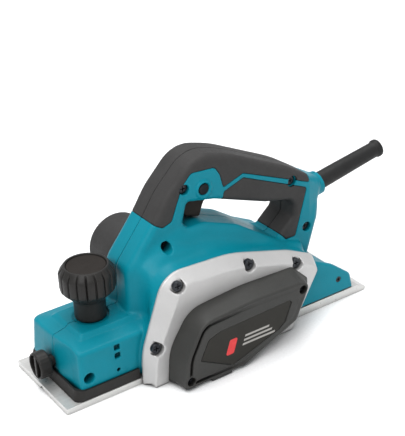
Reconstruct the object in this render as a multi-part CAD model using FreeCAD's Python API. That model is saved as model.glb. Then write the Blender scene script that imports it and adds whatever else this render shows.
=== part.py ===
"""Electric hand planer, 82 mm planing width, modelled as separate pieces. Units are millimetres.

The frame: -X is the front (depth knob), +X the back (cord guard), -Y the belt side, +Y the chip side,
+Z up. The origin is the centre of the sole's footprint, on the sole plane.
"""
import FreeCAD, Part
import math
import os
from FreeCAD import Vector

# ---------------------------------------------------------------- driving dimensions
SOLE_LENGTH = 295.0
SOLE_WIDTH = 82.0

FRONT_BASE_THICK = 5.2
REAR_BASE_THICK = 7.4
LOWER_BODY_BOTTOM = 8.0       # underside of the housing over the front base

DRUM_X, DRUM_Z = -32.0, 28.5  # drum axis, along Y
CUTTING_R = 28.5              # blade tips, tangent to the rear sole
DRUM_R = 26.5
MOTOR_X, MOTOR_Z = 33.0, 39.0 # motor axis, along Y
DRUM_PULLEY_R = 17.0
MOTOR_PULLEY_R = 10.0
BELT_THICK = 2.4
BELT_Y0, BELT_Y1 = -67.0, -58.0

KNOB_X = -99.35               # depth screw axis, along Z
KNOB_R = 21.9
BUSH_R = 8.0
BLOCK_TOP = 50.0              # top face of the front block
GUIDE_X, GUIDE_Z = -124.2, 21.3   # guide rod hole, along Y
GUIDE_R = 4.5
GUIDE_KNOB_Y = 2.5
BLOCK_HALF = 37.6             # half width of the front block at its foot
BLOCK_TABLE = 40.0            # side of the square table on top of the block

BODY_HALF = SOLE_WIDTH / 2    # the lower body is as wide as the sole
HANDLE_HALF = 18.0
HUMP_HALF = 22.0
GRIP_SKIN = 2.2               # thickness of the soft overmould
WALL = 3.0
WING_INSIDE_Y = 37.5          # inner faces of the tail wings
CHAMBER_R = 34.5              # chip chamber round the drum
HOOD_R, HOOD_WALL = 33.6, 3.0 # curved metal hood over the drum
INNER_SEAT_R = 11.0           # bearing seats in the side casting
OUTER_SEAT_R = 9.5            # the drum's and the motor's far bearings
SHAFT_R = 5.0
STATOR_R = 26.0
MOTOR_BAY = (5.6, 92.0)       # the motor bay's front and back ends
FRAME_BACK_Y, FRAME_SHOULDER_Y, FRAME_FACE_Y = -41.0, -43.0, -53.0
COVER_FACE_Y = -73.0
COVER_BOSS_R = 4.7

LOBE_X, LOBE_Z, LOBE_R = -38.0, 68.0, 26.5    # round chip outlet of the body, along Y
NOZZLE_R, NOZZLE_WALL = 26.0, 2.6
LOBE_BORE_R = 23.0
NOZZLE_END_Y = 62.0
NOZZLE_STOP_Y = 42.0          # a hose goes into the nozzle as far as this step
LOBE_END_Y = 28.0

TRIGGER_PIVOT = (-17.0, 130.0)
TRIGGER_HALF = 8.2
BUTTON_AT = (-1.2, 134.7)     # lock-off button, along Y
BUTTON_R = 4.3

GUARD_ROOT = Vector(116.0, 0, 92.8)           # cord guard axis, inside the collar
GUARD_TIP = Vector(195.6, 0, 107.7)
GUARD_R = 7.8
COLLAR_R = 10.4              # round end of the handle that holds the guard
CORD_HOLE_R = 3.6

FIT = 0.05                    # radial clearance of a screw or pin in its own hole
HALF_LENGTH = SOLE_LENGTH / 2
FAR = 400.0                   # larger than the object, for cutting tools

os.makedirs("parts", exist_ok=True)


# ---------------------------------------------------------------- small helpers
def box(x0, x1, y0, y1, z0, z1):
    return Part.makeBox(x1 - x0, y1 - y0, z1 - z0, Vector(x0, y0, z0))


def rod_x(y, z, r, x0, x1):
    return Part.makeCylinder(r, x1 - x0, Vector(x0, y, z), Vector(1, 0, 0))


def rod_y(x, z, r, y0, y1):
    return Part.makeCylinder(r, y1 - y0, Vector(x, y0, z), Vector(0, 1, 0))


def rod_z(x, y, r, z0, z1):
    return Part.makeCylinder(r, z1 - z0, Vector(x, y, z0), Vector(0, 0, 1))


def cone_z(x, y, r0, r1, z0, z1):
    return Part.makeCone(r0, r1, z1 - z0, Vector(x, y, z0), Vector(0, 0, 1))


def ring_y(x, z, r_out, r_in, y0, y1):
    return rod_y(x, z, r_out, y0, y1).cut(rod_y(x, z, r_in, y0 - 1, y1 + 1))


def rounded_wire(corners, place):
    """A closed wire through corners (u, v) or (u, v, radius); place(u, v) gives the 3-D point."""
    flat = [(c[0], c[1], c[2] if len(c) > 2 else 0.0) for c in corners]
    count = len(flat)
    cuts = []
    for i, (u, v, r) in enumerate(flat):
        here = Vector(u, v, 0)
        to_last = (Vector(*flat[i - 1][:2], 0) - here).normalize()
        to_next = (Vector(*flat[(i + 1) % count][:2], 0) - here).normalize()
        if r == 0:
            cuts.append((here, None, here))
            continue
        half = to_last.getAngle(to_next) / 2
        back = r / math.tan(half)
        middle = (to_last + to_next).normalize()
        centre = here + middle * (r / math.sin(half))
        cuts.append((here + to_last * back, centre - middle * r, here + to_next * back))
    edges = []
    for i, (start, mid, end) in enumerate(cuts):
        if mid is not None:
            points = [place(p.x, p.y) for p in (start, mid, end)]
            edges.append(Part.Arc(*points).toShape())
        after = cuts[(i + 1) % count][0]
        if (after - end).Length > 1e-6:
            edges.append(Part.makeLine(place(end.x, end.y), place(after.x, after.y)))
    return Part.Wire(edges)


def side_wire(corners, y):
    return rounded_wire(corners, lambda u, v: Vector(u, y, v))


def plate(corners, y0, y1):
    """A side outline in X and Z, extruded along Y."""
    return Part.Face(side_wire(corners, y0)).extrude(Vector(0, y1 - y0, 0))


def inset_plate(corners, inset, y0, y1):
    """The same, with its outline moved inwards."""
    face = Part.Face(side_wire(corners, y0)).makeOffset2D(-inset)
    return face.extrude(Vector(0, y1 - y0, 0))


def loft(wires):
    return Part.makeLoft(wires, True, True)


def flat_rectangle(x0, x1, half, z, r_front):
    """A rectangle at height z whose two front corners are rounded."""
    corners = [(x1, half), (x0, half, r_front), (x0, -half, r_front), (x1, -half)]
    return rounded_wire(corners, lambda u, v: Vector(u, v, z))


def fuse(shapes):
    joined = shapes[0].multiFuse(shapes[1:]) if len(shapes) > 1 else shapes[0]
    return joined.removeSplitter()


def group(shapes):
    return Part.makeCompound(shapes)


def write(node, shape):
    """Writes one node, and stops if the shape isn't made of sound closed solids."""
    if not shape.isValid() or not shape.Solids or any(s.Volume < 1.0 for s in shape.Solids):
        raise ValueError("bad solid in " + node)
    shape.exportStep("parts/" + node + ".step")
    print("%-22s %3d solids %10.0f mm3" % (node, len(shape.Solids), shape.Volume))


# ---------------------------------------------------------------- side outlines (x, z, corner radius)
LOWER_BODY = [
    (-80, LOWER_BODY_BOTTOM), (-79.5, 28, 60), (-56.5, 87.5, 22), (5, 85.5, 100), (61, 68.5, 60),
    (85, 56.5, 8), (93, 46.5, 3), (111.3, 37.2, 40), (130.6, 22, 5), (133.8, REAR_BASE_THICK),
    (-20, REAR_BASE_THICK), (-20, LOWER_BODY_BOTTOM),
]
TAIL_GAP = [(105, 90), (105, 34), (110, REAR_BASE_THICK), (150, REAR_BASE_THICK), (150, 90)]
HUMP = [(-62, 40), (-62, 88, 12), (-24, 106, 10), (-2, 104.5, 20), (30, 92, 40), (72, 63.5, 12), (92, 58),
        (92, 40)]
HANDLE = [
    (-74, 45), (-74, 86, 14), (-47.5, 118.7, 60), (-35.2, 136.8, 60), (-6.6, 165.2, 28), (26, 155.6, 110),
    (85, 127.2, 150), (110, 110.8, 8), (123.5, 103.2, 4), (125, 96, 5), (121.3, 86.5, 8), (104, 38),
    (100, 30), (0, 45),
]
OPENING = [
    (-22, 106, 5), (-16, 127, 3), (10, 121.5, 20), (60, 103, 20), (88.5, 96, 9), (87.5, 81, 6), (70, 66, 4),
    (30, 93.5, 40), (-2, 106, 20),
]
UPPER_GRIP_ZONE = [
    (-70, 136), (-46, 116.5, 2), (-40, 113, 4), (-31.5, 116, 4), (-27, 127, 4), (-20.5, 142, 4),
    (-12, 151, 5), (10, 149.5, 5), (14.5, 142, 3), (17.5, 130, 1.5), (37, 136.5, 2), (104.5, 108, 2),
    (106.5, 116, 2), (120, 160),
    (20, 200), (-60, 200),
]
LOWER_GRIP_ZONE = [
    (15, 114), (18, 126.5, 1.5), (37, 133, 2), (101.5, 104.5, 3), (89, 63, 2), (78.8, 63), (66, 78),
    (40, 105),
]
FRAME_BACK = [
    (-81.5, 0.5), (-80.5, 28, 60), (-57, 89.5, 22), (5, 86.5, 100), (61.6, 69.5, 60), (86, 57.5, 8),
    (91.5, 43, 3), (64, 0.5),
]
FRAME_FACE = [
    (-76.5, 0.5), (-74, 26, 60), (-47, 81.5, 18), (4, 78.5, 100), (58, 63.5, 60), (79, 54.5, 6),
    (84.5, 48, 3), (57, 0.5),
]
COVER_BACK = [
    (-65, 2.5), (-62.5, 30, 40), (-43, 58.5, 25), (5, 62.5, 150), (57, 60.5, 6), (74, 44, 4), (70.5, 36, 4),
    (58, 12, 4), (40, 2.5),
]
COVER_FACE = [
    (-61, 2.5), (-58, 28, 30), (-43.5, 55, 16), (5, 58, 150), (50, 56.5, 4), (59, 52, 3), (57.5, 47, 2),
    (46, 24, 4), (-5, 2.5),
]
COVER_CAVITY = [
    (-58.3, 6), (-56.8, 28, 20), (-42.6, 52.8, 14), (5, 55.2, 100), (46, 53.8, 4), (51.5, 48, 2),
    (43, 25.5, 2), (-6, 6),
]
LABEL_PANEL = [
    (-47, 23.4), (-39, 39.5, 5), (-28, 43, 10), (39.5, 45.2, 2), (41.5, 42.5, 1), (35, 27), (29, 22.3, 3),
    (-17.5, 7.2, 2),
]

FRAME_SCREWS = [(-72.0, 33.0), (-49.5, 80.0), (17.0, 75.5), (64.0, 60.0)]
COVER_SCREWS = [(-56.0, 8.2), (53.0, 49.6)]
HANDLE_SCREWS = [(-40.0, 98.0), (-18.5, 139.0), (86.0, 114.4), (101.0, 67.7)]
TAIL_SCREW = (117.2, 20.8)
EAR_X, EAR_TOP, EAR_THICK = (112.0, 120.4), 25.0, 6.0
REAR_BASE_SCREW_X, REAR_BASE_SCREW_Y = -1.0, 18.0
PLATE_SCREW_ANGLES = (8, 34, 146, 172)
PLATE_SCREW_CIRCLE = 32.1

SCREW_RECESS_R = 4.2
SCREW_HEAD_R = 3.4
SCREW_SHANK_R = 1.9


# ---------------------------------------------------------------- body, handle and grips
def front_block():
    """The block under the depth knob: drafted walls, a low shoulder, and a square table on top."""
    table = BLOCK_TABLE / 2
    levels = (
        (-133.8, BLOCK_HALF, LOWER_BODY_BOTTOM, 12.0),
        (-131.0, BLOCK_HALF - 1.1, BLOCK_TOP - 6.5, 12.0),
        (-128.5, BLOCK_HALF - 3.4, BLOCK_TOP - 4.5, 10.0),
        (KNOB_X - table - 2.5, table + 2.5, BLOCK_TOP - 2.8, 4.0),
        (KNOB_X - table, table, BLOCK_TOP, 3.0),
    )
    return loft([flat_rectangle(x0, -68.0, half, z, r) for x0, half, z, r in levels])


def handle_blank():
    """Front column, grip bar and rear column as one loop, with rounded side edges."""
    loop = plate(HANDLE, -HANDLE_HALF, HANDLE_HALF)
    loop = loop.makeFillet(6.0, [e for e in side_edges(loop) if e.BoundBox.ZMin > 60.0])
    opening = plate(OPENING, -FAR, FAR)
    loop = loop.cut(opening)
    loop = loop.makeFillet(4.0, [e for e in side_edges(loop) if opening.distToShape(e)[0] < 1e-4])
    loop = loop.cut([collar_taper(side) for side in (-1, 1)])
    collar = Part.makeCylinder(COLLAR_R, 19.5, GUARD_ROOT - guard_axis() * 8.0, guard_axis())
    return loop.fuse(collar.cut(opening))


def collar_taper(side):
    """A wedge that narrows the handle's back end to the width of the round collar."""
    corners = [(106, HANDLE_HALF), (130, 10.0), (130, HANDLE_HALF + 2), (106, HANDLE_HALF + 2)]
    points = [Vector(x, side * y, 76.0) for x, y in corners]
    return Part.Face(Part.makePolygon(points + points[:1])).extrude(Vector(0, 0, 60))


def side_edges(shape):
    """The edges that lie wholly in the handle's two side planes."""
    return [e for e in shape.Edges if all(abs(abs(v.Y) - HANDLE_HALF) < 1e-6 for v in e.Vertexes)]


def handle_core():
    """The handle under the soft grip, smaller all round by the grip's thickness."""
    half = HANDLE_HALF - GRIP_SKIN
    outer = inset_plate(HANDLE, GRIP_SKIN, -half, half)
    return outer.cut(inset_plate(OPENING, -GRIP_SKIN, -FAR, FAR))


def grips(blank, core):
    """The overmould above and below the teal stripe, each split on the middle plane."""
    skin = blank.cut(core)
    made = {}
    recesses = [rod_y(x, z, SCREW_RECESS_R + 0.6, -FAR, FAR) for x, z in HANDLE_SCREWS]
    for name, zone in (("grip_upper", UPPER_GRIP_ZONE), ("grip_lower", LOWER_GRIP_ZONE)):
        whole = skin.common(plate(zone, -FAR, FAR)).cut(fuse(recesses))
        made[name + "_left"] = whole.common(box(-FAR, FAR, -FAR, 0, -FAR, FAR))
        made[name + "_right"] = whole.common(box(-FAR, FAR, 0, FAR, -FAR, FAR))
    return {name: group(shape.Solids) for name, shape in made.items()}


def body_cavities():
    """The spaces inside the housing: chip chamber, motor bay, front block, handle and rear column."""
    inner = BODY_HALF - WALL
    motor_bay = inset_plate(LOWER_BODY, WALL, -inner, inner).common(
        box(*MOTOR_BAY, -inner, inner, REAR_BASE_THICK + WALL, 90))
    handle_space = plate(
        [(-18, 134), (-12, 150, 3), (-2, 155.5, 4), (50, 138), (98, 112.5), (106, 104), (106, 92), (92, 98),
         (62, 109), (12, 127.5), (-14, 133)], -12.5, 12.5)
    column = plate([(94, 100), (110, 98), (116, 86), (103, 48), (97, 30), (86, 30), (86, 50), (94, 70)],
                   -12.5, 12.5)
    guide_sleeve = rod_y(GUIDE_X, GUIDE_Z, GUIDE_R + 3.5, -FAR, FAR)
    spring_ledge = rod_z(KNOB_X, 0, 17.0, BLOCK_TOP - 13.0, FAR)
    block_space = box(-121, -82, -32.0, 32.0, 0, BLOCK_TOP - 8.5).cut(guide_sleeve).cut(spring_ledge)
    return [
        rod_y(DRUM_X, DRUM_Z, CHAMBER_R, -BODY_HALF - 1, BODY_HALF + 1),
        box(DRUM_X - CHAMBER_R, DRUM_X + CHAMBER_R, -BODY_HALF - 1, BODY_HALF + 1, 0, DRUM_Z),
        rod_y(LOBE_X, LOBE_Z, LOBE_BORE_R, -20, LOBE_END_Y + 1),
        rod_y(LOBE_X, LOBE_Z, NOZZLE_R + 1.2, LOBE_END_Y, FAR),
        box(-90, LOBE_X + NOZZLE_R + 1.2, LOBE_END_Y, FAR, LOBE_Z, FAR),
        box(-58, -36, -20, 24, 50, 66),
        motor_bay,
        rod_y(MOTOR_X, MOTOR_Z, INNER_SEAT_R + FIT, -BODY_HALF - 1, -30),
        rod_y(MOTOR_X, MOTOR_Z, OUTER_SEAT_R + FIT, 30, 39.5),
        handle_space, column, block_space,
    ]


def housing_cuts():
    """Every hole, slot and recess in the closed housing."""
    cuts = body_cavities()
    for x, z in HANDLE_SCREWS:
        cuts.append(rod_y(x, z, SCREW_SHANK_R + FIT, -13, 12))
    for side in (-1, 1):
        outside = Vector(TAIL_SCREW[0], side * (BODY_HALF + 0.5), TAIL_SCREW[1])
        cuts.append(Part.makeCylinder(2.6, 2.5, outside, Vector(0, -side, 0)))
        cuts.append(rod_y(*TAIL_SCREW, 1.4 + FIT, min(side * 30, side * 45), max(side * 30, side * 45)))
    for x, z in FRAME_SCREWS:
        cuts.append(rod_y(x, z, 2.2 + FIT, -BODY_HALF - 1, -29.9))
    cuts.append(rod_y(GUIDE_X, GUIDE_Z, GUIDE_R, -FAR, FAR))
    cuts.append(rod_x(GUIDE_KNOB_Y, GUIDE_Z, 3.0 + FIT, -FAR, GUIDE_X))
    cuts.append(rod_z(KNOB_X, 0, BUSH_R + FIT, 30, BLOCK_TOP - 0.5))
    cuts.append(rod_z(KNOB_X, 0, 6.0, BLOCK_TOP - 5, FAR))
    window = 2.3
    for z in (38.6, 31.2):
        cuts.append(box(-98.5 - window, -98.5 + window, -FAR, -30, z - window, z + window))
    cuts.append(rod_y(-98.8, 18.5, 1.4, -FAR, -30))
    cuts.append(box(-20, 13.5, -9, 9, 110, 136))
    cuts.append(rod_y(*TRIGGER_PIVOT, 2.0 + FIT, -14.5, 14.5))
    cuts.append(rod_y(*BUTTON_AT, BUTTON_R + 0.08, -FAR, -10))
    cuts.append(guard_tool(GUARD_R + FIT))
    for i in range(7):
        x = MOTOR_X - 15 + 5 * i
        cuts.append(box(x - 1.2, x + 1.2, BODY_HALF - WALL - 1, FAR, MOTOR_Z + 12, MOTOR_Z + 25))
    cuts.append(plate(TAIL_GAP, -WING_INSIDE_Y, WING_INSIDE_Y))
    return cuts


def housing_insides():
    """Walls and bosses that stand inside the cavities."""
    cradle = ring_y(MOTOR_X, MOTOR_Z, STATOR_R + 4.5, STATOR_R + 0.1, -10, 16).common(
        box(*MOTOR_BAY, -38, 38, REAR_BASE_THICK, 80))
    stator_space = rod_y(MOTOR_X, MOTOR_Z, STATOR_R + 0.1, -FAR, FAR)
    feet = [box(MOTOR_X + dx - 1.5, MOTOR_X + dx + 1.5, -10, 16, REAR_BASE_THICK + 1, 17).cut(stator_space)
            for dx in (-14, 14)]
    bearing_wall = ring_y(MOTOR_X, MOTOR_Z, 13.0, OUTER_SEAT_R + FIT, 31, 39)
    inside = [cradle, bearing_wall] + feet
    for x, z in FRAME_SCREWS[2:]:
        inside.append(ring_y(x, z, 5.0, 2.2 + FIT, -38.5, -29.9))
    for x, z in HANDLE_SCREWS[1:3]:
        inside.append(ring_y(x, z, 4.8, SCREW_SHANK_R + FIT, -12.6, 12.6))
    return inside


def housing(grip_solids):
    """The closed housing, cut by its cavities and split on the middle plane."""
    ring = rod_y(*BUTTON_AT, 8.5, -HANDLE_HALF - 1.2, -12)
    solid = fuse([
        front_block(),
        plate(LOWER_BODY, -BODY_HALF, BODY_HALF),
        plate(HUMP, -HUMP_HALF, HUMP_HALF),
        rod_y(LOBE_X, LOBE_Z, LOBE_R, -26, LOBE_END_Y),
        handle_blank(), ring,
    ])
    solid = solid.cut(plate(OPENING, -FAR, FAR))
    solid = solid.cut(housing_cuts())
    solid = fuse([solid] + housing_insides())
    recesses = [rod_y(x, z, SCREW_RECESS_R, -FAR, -12.0) for x, z in HANDLE_SCREWS]
    solid = solid.cut([rod_y(*TRIGGER_PIVOT, 2.0 + FIT, -14.5, 14.5)] + recesses)
    solid = solid.cut(list(grip_solids))
    left = solid.common(box(-FAR, FAR, -FAR, 0, -FAR, FAR))
    right = solid.common(box(-FAR, FAR, 0, FAR, -FAR, FAR))
    return largest(left), largest(right)


def largest(shape):
    """The main solid, without chips that the cuts set free."""
    return max(shape.Solids, key=lambda s: s.Volume)


# ---------------------------------------------------------------- cord guard, nozzle, screws
def guard_axis():
    return (GUARD_TIP - GUARD_ROOT).normalize()


def guard_tool(r):
    """A cylinder on the guard's axis, through the collar and into the rear column."""
    return Part.makeCylinder(r, 40.0, GUARD_ROOT - guard_axis() * 2.0, guard_axis())


def cord_guard():
    axis = guard_axis()
    length = (GUARD_TIP - GUARD_ROOT).Length
    sleeve = Part.makeCone(GUARD_R, GUARD_R - 0.9, length - 4, GUARD_ROOT, axis)
    flange = Part.makeCylinder(GUARD_R + 0.2, 4.0, GUARD_ROOT + axis * (length - 4), axis)
    bore = Part.makeCylinder(CORD_HOLE_R, length + 2, GUARD_ROOT - axis, axis)
    return fuse([sleeve, flange]).cut(bore)


def chip_nozzle():
    """A short round tube with a spigot that plugs into the body's outlet, and a step inside for the hose."""
    mouth = ring_y(LOBE_X, LOBE_Z, NOZZLE_R, NOZZLE_R - NOZZLE_WALL, NOZZLE_STOP_Y, NOZZLE_END_Y)
    tube = ring_y(LOBE_X, LOBE_Z, NOZZLE_R, LOBE_BORE_R - 1.6, LOBE_END_Y + 3.0, NOZZLE_STOP_Y)
    shoulder = ring_y(LOBE_X, LOBE_Z, NOZZLE_R, LOBE_BORE_R - 2.4, LOBE_END_Y + 0.4, LOBE_END_Y + 3.2)
    spigot = ring_y(LOBE_X, LOBE_Z, LOBE_BORE_R - 0.06, LOBE_BORE_R - 2.4, 16.0, LOBE_END_Y + 0.6)
    lip = ring_y(LOBE_X, LOBE_Z, NOZZLE_R + 0.6, NOZZLE_R - 0.5, NOZZLE_END_Y - 4, NOZZLE_END_Y)
    # the drum and its hood pass under the nozzle's root
    drum_space = rod_y(DRUM_X, DRUM_Z, HOOD_R + 0.6, -FAR, BODY_HALF + 0.8)
    return largest(fuse([mouth, tube, shoulder, spigot, lip]).cut(drum_space))


def side_screw(x, z, head_y, tip_y, head_r, shank_r, head_h=3.0):
    """A pan-head screw along Y, with a cross slot in its head."""
    away = 1 if tip_y > head_y else -1
    head = Part.makeCylinder(head_r, head_h, Vector(x, head_y, z), Vector(0, away, 0))
    shank = Part.makeCylinder(shank_r, abs(tip_y - head_y), Vector(x, head_y, z), Vector(0, away, 0))
    depth = 1.4
    y0, y1 = sorted((head_y - away, head_y + away * depth))
    arm, thick = head_r * 0.62, 0.55
    slots = [box(x - arm, x + arm, y0, y1, z - thick, z + thick),
             box(x - thick, x + thick, y0, y1, z - arm, z + arm)]
    return fuse([head, shank]).cut(slots)


# ---------------------------------------------------------------- bases and depth adjuster
def front_base():
    plate_end = DRUM_X
    body = box(-HALF_LENGTH, plate_end, -BODY_HALF, BODY_HALF, 0, FRONT_BASE_THICK)
    groove = Part.Face(Part.makePolygon([
        Vector(-FAR, -4.2, -0.01), Vector(-FAR, 4.2, -0.01), Vector(-FAR, 0, 3.6), Vector(-FAR, -4.2, -0.01),
    ])).extrude(Vector(2 * FAR, 0, 0))
    body = body.cut(rod_y(DRUM_X, DRUM_Z, CUTTING_R + 3.0, -FAR, FAR)).cut(groove)
    boss = rod_z(KNOB_X, 0, 11.0, FRONT_BASE_THICK - 1, 27.0)
    ribs = [box(-118, -86, y - 1.5, y + 1.5, FRONT_BASE_THICK - 1, 9.0) for y in (-24, 24)]
    return fuse([body, boss] + ribs).cut(rod_z(KNOB_X, 0, 5.08, 8.0, 40))


def front_base_skirt():
    """The black U-shaped skirt round the foot of the front block; it rises with the base."""
    top = FRONT_BASE_THICK + 8.4
    outer = loft([flat_rectangle(-138.4, -82.3, 40.2, FRONT_BASE_THICK, 6.0),
                  flat_rectangle(-136.0, -82.3, 39.7, top, 7.0)])
    inner = loft([flat_rectangle(-134.6, -80.0, 38.2, FRONT_BASE_THICK - 1, 10.0),
                  flat_rectangle(-134.3, -80.0, 38.0, top + 1, 10.0)])
    return outer.cut(inner)


def depth_knob():
    """A lobed knob on a round neck, with a bevel below and above the lobes."""
    neck_r, hub_r = 12.6, 5.0
    profile = [(hub_r, BLOCK_TOP + 0.5), (neck_r, BLOCK_TOP + 0.5), (neck_r, 66.5), (15.5, 68.9),
               (KNOB_R, 76.0), (KNOB_R, 89.5), (18.6, 93.6), (17.2, 95.5), (15.6, 95.5), (15.6, 92.0),
               (hub_r, 92.0)]
    points = [Vector(KNOB_X + r, 0, z) for r, z in profile]
    section = Part.Face(Part.makePolygon(points + points[:1]))
    knob = section.revolve(Vector(KNOB_X, 0, 0), Vector(0, 0, 1), 360)
    lobes, groove_r = 18, 1.4
    grooves = []
    for i in range(lobes):
        angle = 2 * math.pi * (i + 0.5) / lobes
        x, y = KNOB_X + (KNOB_R + 0.6) * math.cos(angle), (KNOB_R + 0.6) * math.sin(angle)
        grooves.append(rod_z(x, y, groove_r, 60, 92.5))
    return knob.cut(grooves)


def coil_spring(x, y, radius, wire_r, z0, z1, turns):
    height = z1 - z0 - 2 * wire_r
    helix = Part.makeHelix(height / turns, height, radius)
    profile = Part.Wire(Part.makeCircle(wire_r, Vector(radius, 0, 0), Vector(0, 1, 0)))
    spring = Part.Wire(helix).makePipeShell([profile], True, True)
    spring.translate(Vector(x, y, z0 + wire_r))
    return spring


def guide_clamp_knob():
    """A dished round knob on the front, with a rib across its face and a narrow neck to the block."""
    face, rim_end, neck_end = -150.0, -139.6, -133.8
    y = GUIDE_KNOB_Y
    knob = fuse([rod_x(y, GUIDE_Z, 11.0, face, rim_end), rod_x(y, GUIDE_Z, 5.0, rim_end, neck_end)])
    dish = rod_x(y, GUIDE_Z, 8.8, face - 1, face + 4.0)
    rib = box(face + 0.4, face + 4.5, y - 1.3, y + 1.3, GUIDE_Z - 8.9, GUIDE_Z + 8.9)
    return fuse([knob.cut(dish), rib]).cut(rod_x(y, GUIDE_Z, 3.0, -146, FAR))


def rear_base():
    """The flat rear sole, with a thin tapered back edge and two ears that the tail wings are screwed to."""
    edge = [(DRUM_X, 0), (HALF_LENGTH - 1, 0), (HALF_LENGTH, 1), (HALF_LENGTH, 3.4),
            (HALF_LENGTH - 8, REAR_BASE_THICK), (DRUM_X, REAR_BASE_THICK)]
    body = plate(edge, -BODY_HALF, BODY_HALF).cut(rod_y(DRUM_X, DRUM_Z, CUTTING_R + 1.5, -FAR, FAR))
    ears = [box(*EAR_X, y, y + EAR_THICK, REAR_BASE_THICK - 1, EAR_TOP)
            for y in (-WING_INSIDE_Y, WING_INSIDE_Y - EAR_THICK)]
    screw_holes = []
    for side in (-1, 1):
        y0, y1 = min(side * 20, side * 45), max(side * 20, side * 45)
        screw_holes.append(rod_y(*TAIL_SCREW, 1.4 + FIT, y0, y1))
        y = side * REAR_BASE_SCREW_Y
        screw_holes.append(cone_z(REAR_BASE_SCREW_X, y, 4.0 + FIT, 2.0 + FIT, 0.0, 2.4))
        screw_holes.append(rod_z(REAR_BASE_SCREW_X, y, 2.0 + FIT, 2.0, 9.0))
    return fuse([body] + ears).cut(screw_holes)


# ---------------------------------------------------------------- side casting, cover and belt
def frame_casting():
    """The die-cast side frame: a thick shouldered arch, bearing seats, and a hood over the drum."""
    shoulder = loft([side_wire(FRAME_BACK, FRAME_SHOULDER_Y), side_wire(FRAME_FACE, FRAME_FACE_Y)])
    rim = plate(FRAME_BACK, FRAME_SHOULDER_Y, FRAME_BACK_Y)
    pocket = inset_plate(COVER_BACK, 3.5, FRAME_FACE_Y - 1.0, -46.5)
    bosses = [rod_y(x, z, 15.0, -50.0, FRAME_BACK_Y) for x, z in ((DRUM_X, DRUM_Z), (MOTOR_X, MOTOR_Z))]
    posts = [rod_y(x, z, COVER_BOSS_R, FRAME_FACE_Y, FRAME_BACK_Y) for x, z in COVER_SCREWS]
    side = fuse([fuse([shoulder, rim]).cut(pocket)] + bosses + posts)
    hood = ring_y(DRUM_X, DRUM_Z, HOOD_R, HOOD_R - HOOD_WALL, FRAME_BACK_Y - 1, BODY_HALF).cut(
        box(-FAR, FAR, -FAR, FAR, -FAR, DRUM_Z + 3))
    chip_slot = box(DRUM_X - 24, DRUM_X - 2, -36, 36, DRUM_Z + 12, DRUM_Z + 60)
    leg = box(-1.0, 1.8, FRAME_BACK_Y - 1, BODY_HALF, REAR_BASE_THICK, DRUM_Z + 4)
    foot = box(-4.5, 1.8, FRAME_BACK_Y - 1, BODY_HALF, REAR_BASE_THICK, 12.0)
    whole = fuse([side, hood.cut(chip_slot), leg, foot])
    cuts = [box(-FAR, DRUM_X - 8, FRAME_BACK_Y - 0.4, FRAME_BACK_Y + 0.01, -1, 15)]
    for x, z in FRAME_SCREWS:
        cuts.append(rod_y(x, z, 5.4, -FAR, -47.0))
        cuts.append(rod_y(x, z, 2.2 + FIT, -FAR, -30))
    for x, z in COVER_SCREWS:
        cuts.append(rod_y(x, z, 1.9 + FIT, -FAR, -43))
    for x, z in ((DRUM_X, DRUM_Z), (MOTOR_X, MOTOR_Z)):
        cuts.append(rod_y(x, z, INNER_SEAT_R + FIT, -48.0, FRAME_BACK_Y + 0.1))
        cuts.append(rod_y(x, z, 8.0, -FAR, -47.0))
    for side_sign in (-1, 1):
        cuts.append(rod_z(REAR_BASE_SCREW_X, side_sign * REAR_BASE_SCREW_Y, 2.0 + FIT, 7.0, 11.2))
    for angle in PLATE_SCREW_ANGLES:
        a = math.radians(angle)
        x, z = DRUM_X + PLATE_SCREW_CIRCLE * math.cos(a), DRUM_Z + PLATE_SCREW_CIRCLE * math.sin(a)
        cuts.append(rod_y(x, z, 1.0 + FIT, 34, FAR))
    return whole.cut(cuts)


def belt_cover():
    """A drafted black cover over the belt, open below the drum pulley, with a sunk label panel."""
    body = loft([side_wire(COVER_BACK, FRAME_FACE_Y), side_wire(COVER_FACE, COVER_FACE_Y)])
    bosses = [rod_y(x, z, COVER_BOSS_R, COVER_FACE_Y + 0.6, FRAME_FACE_Y) for x, z in COVER_SCREWS]
    lip = box(-37, -18, COVER_FACE_Y, COVER_FACE_Y + 2.5, 0.6, 3.0)
    hollow = plate(COVER_CAVITY, COVER_FACE_Y + 2.8, FRAME_FACE_Y)
    window = box(-50, -9, COVER_FACE_Y + 2.8, FRAME_FACE_Y, 0, 8)
    shell = fuse([body, lip]).cut([hollow, window, plate(LABEL_PANEL, COVER_FACE_Y - 1, COVER_FACE_Y + 1.2)])
    shell = fuse([shell] + bosses)
    holes = []
    for x, z in COVER_SCREWS:
        holes.append(rod_y(x, z, SCREW_HEAD_R + 0.3, -FAR, -66.0))
        holes.append(rod_y(x, z, 1.9 + FIT, -FAR, FRAME_FACE_Y + 1))
    return largest(shell.cut(holes))


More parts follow.
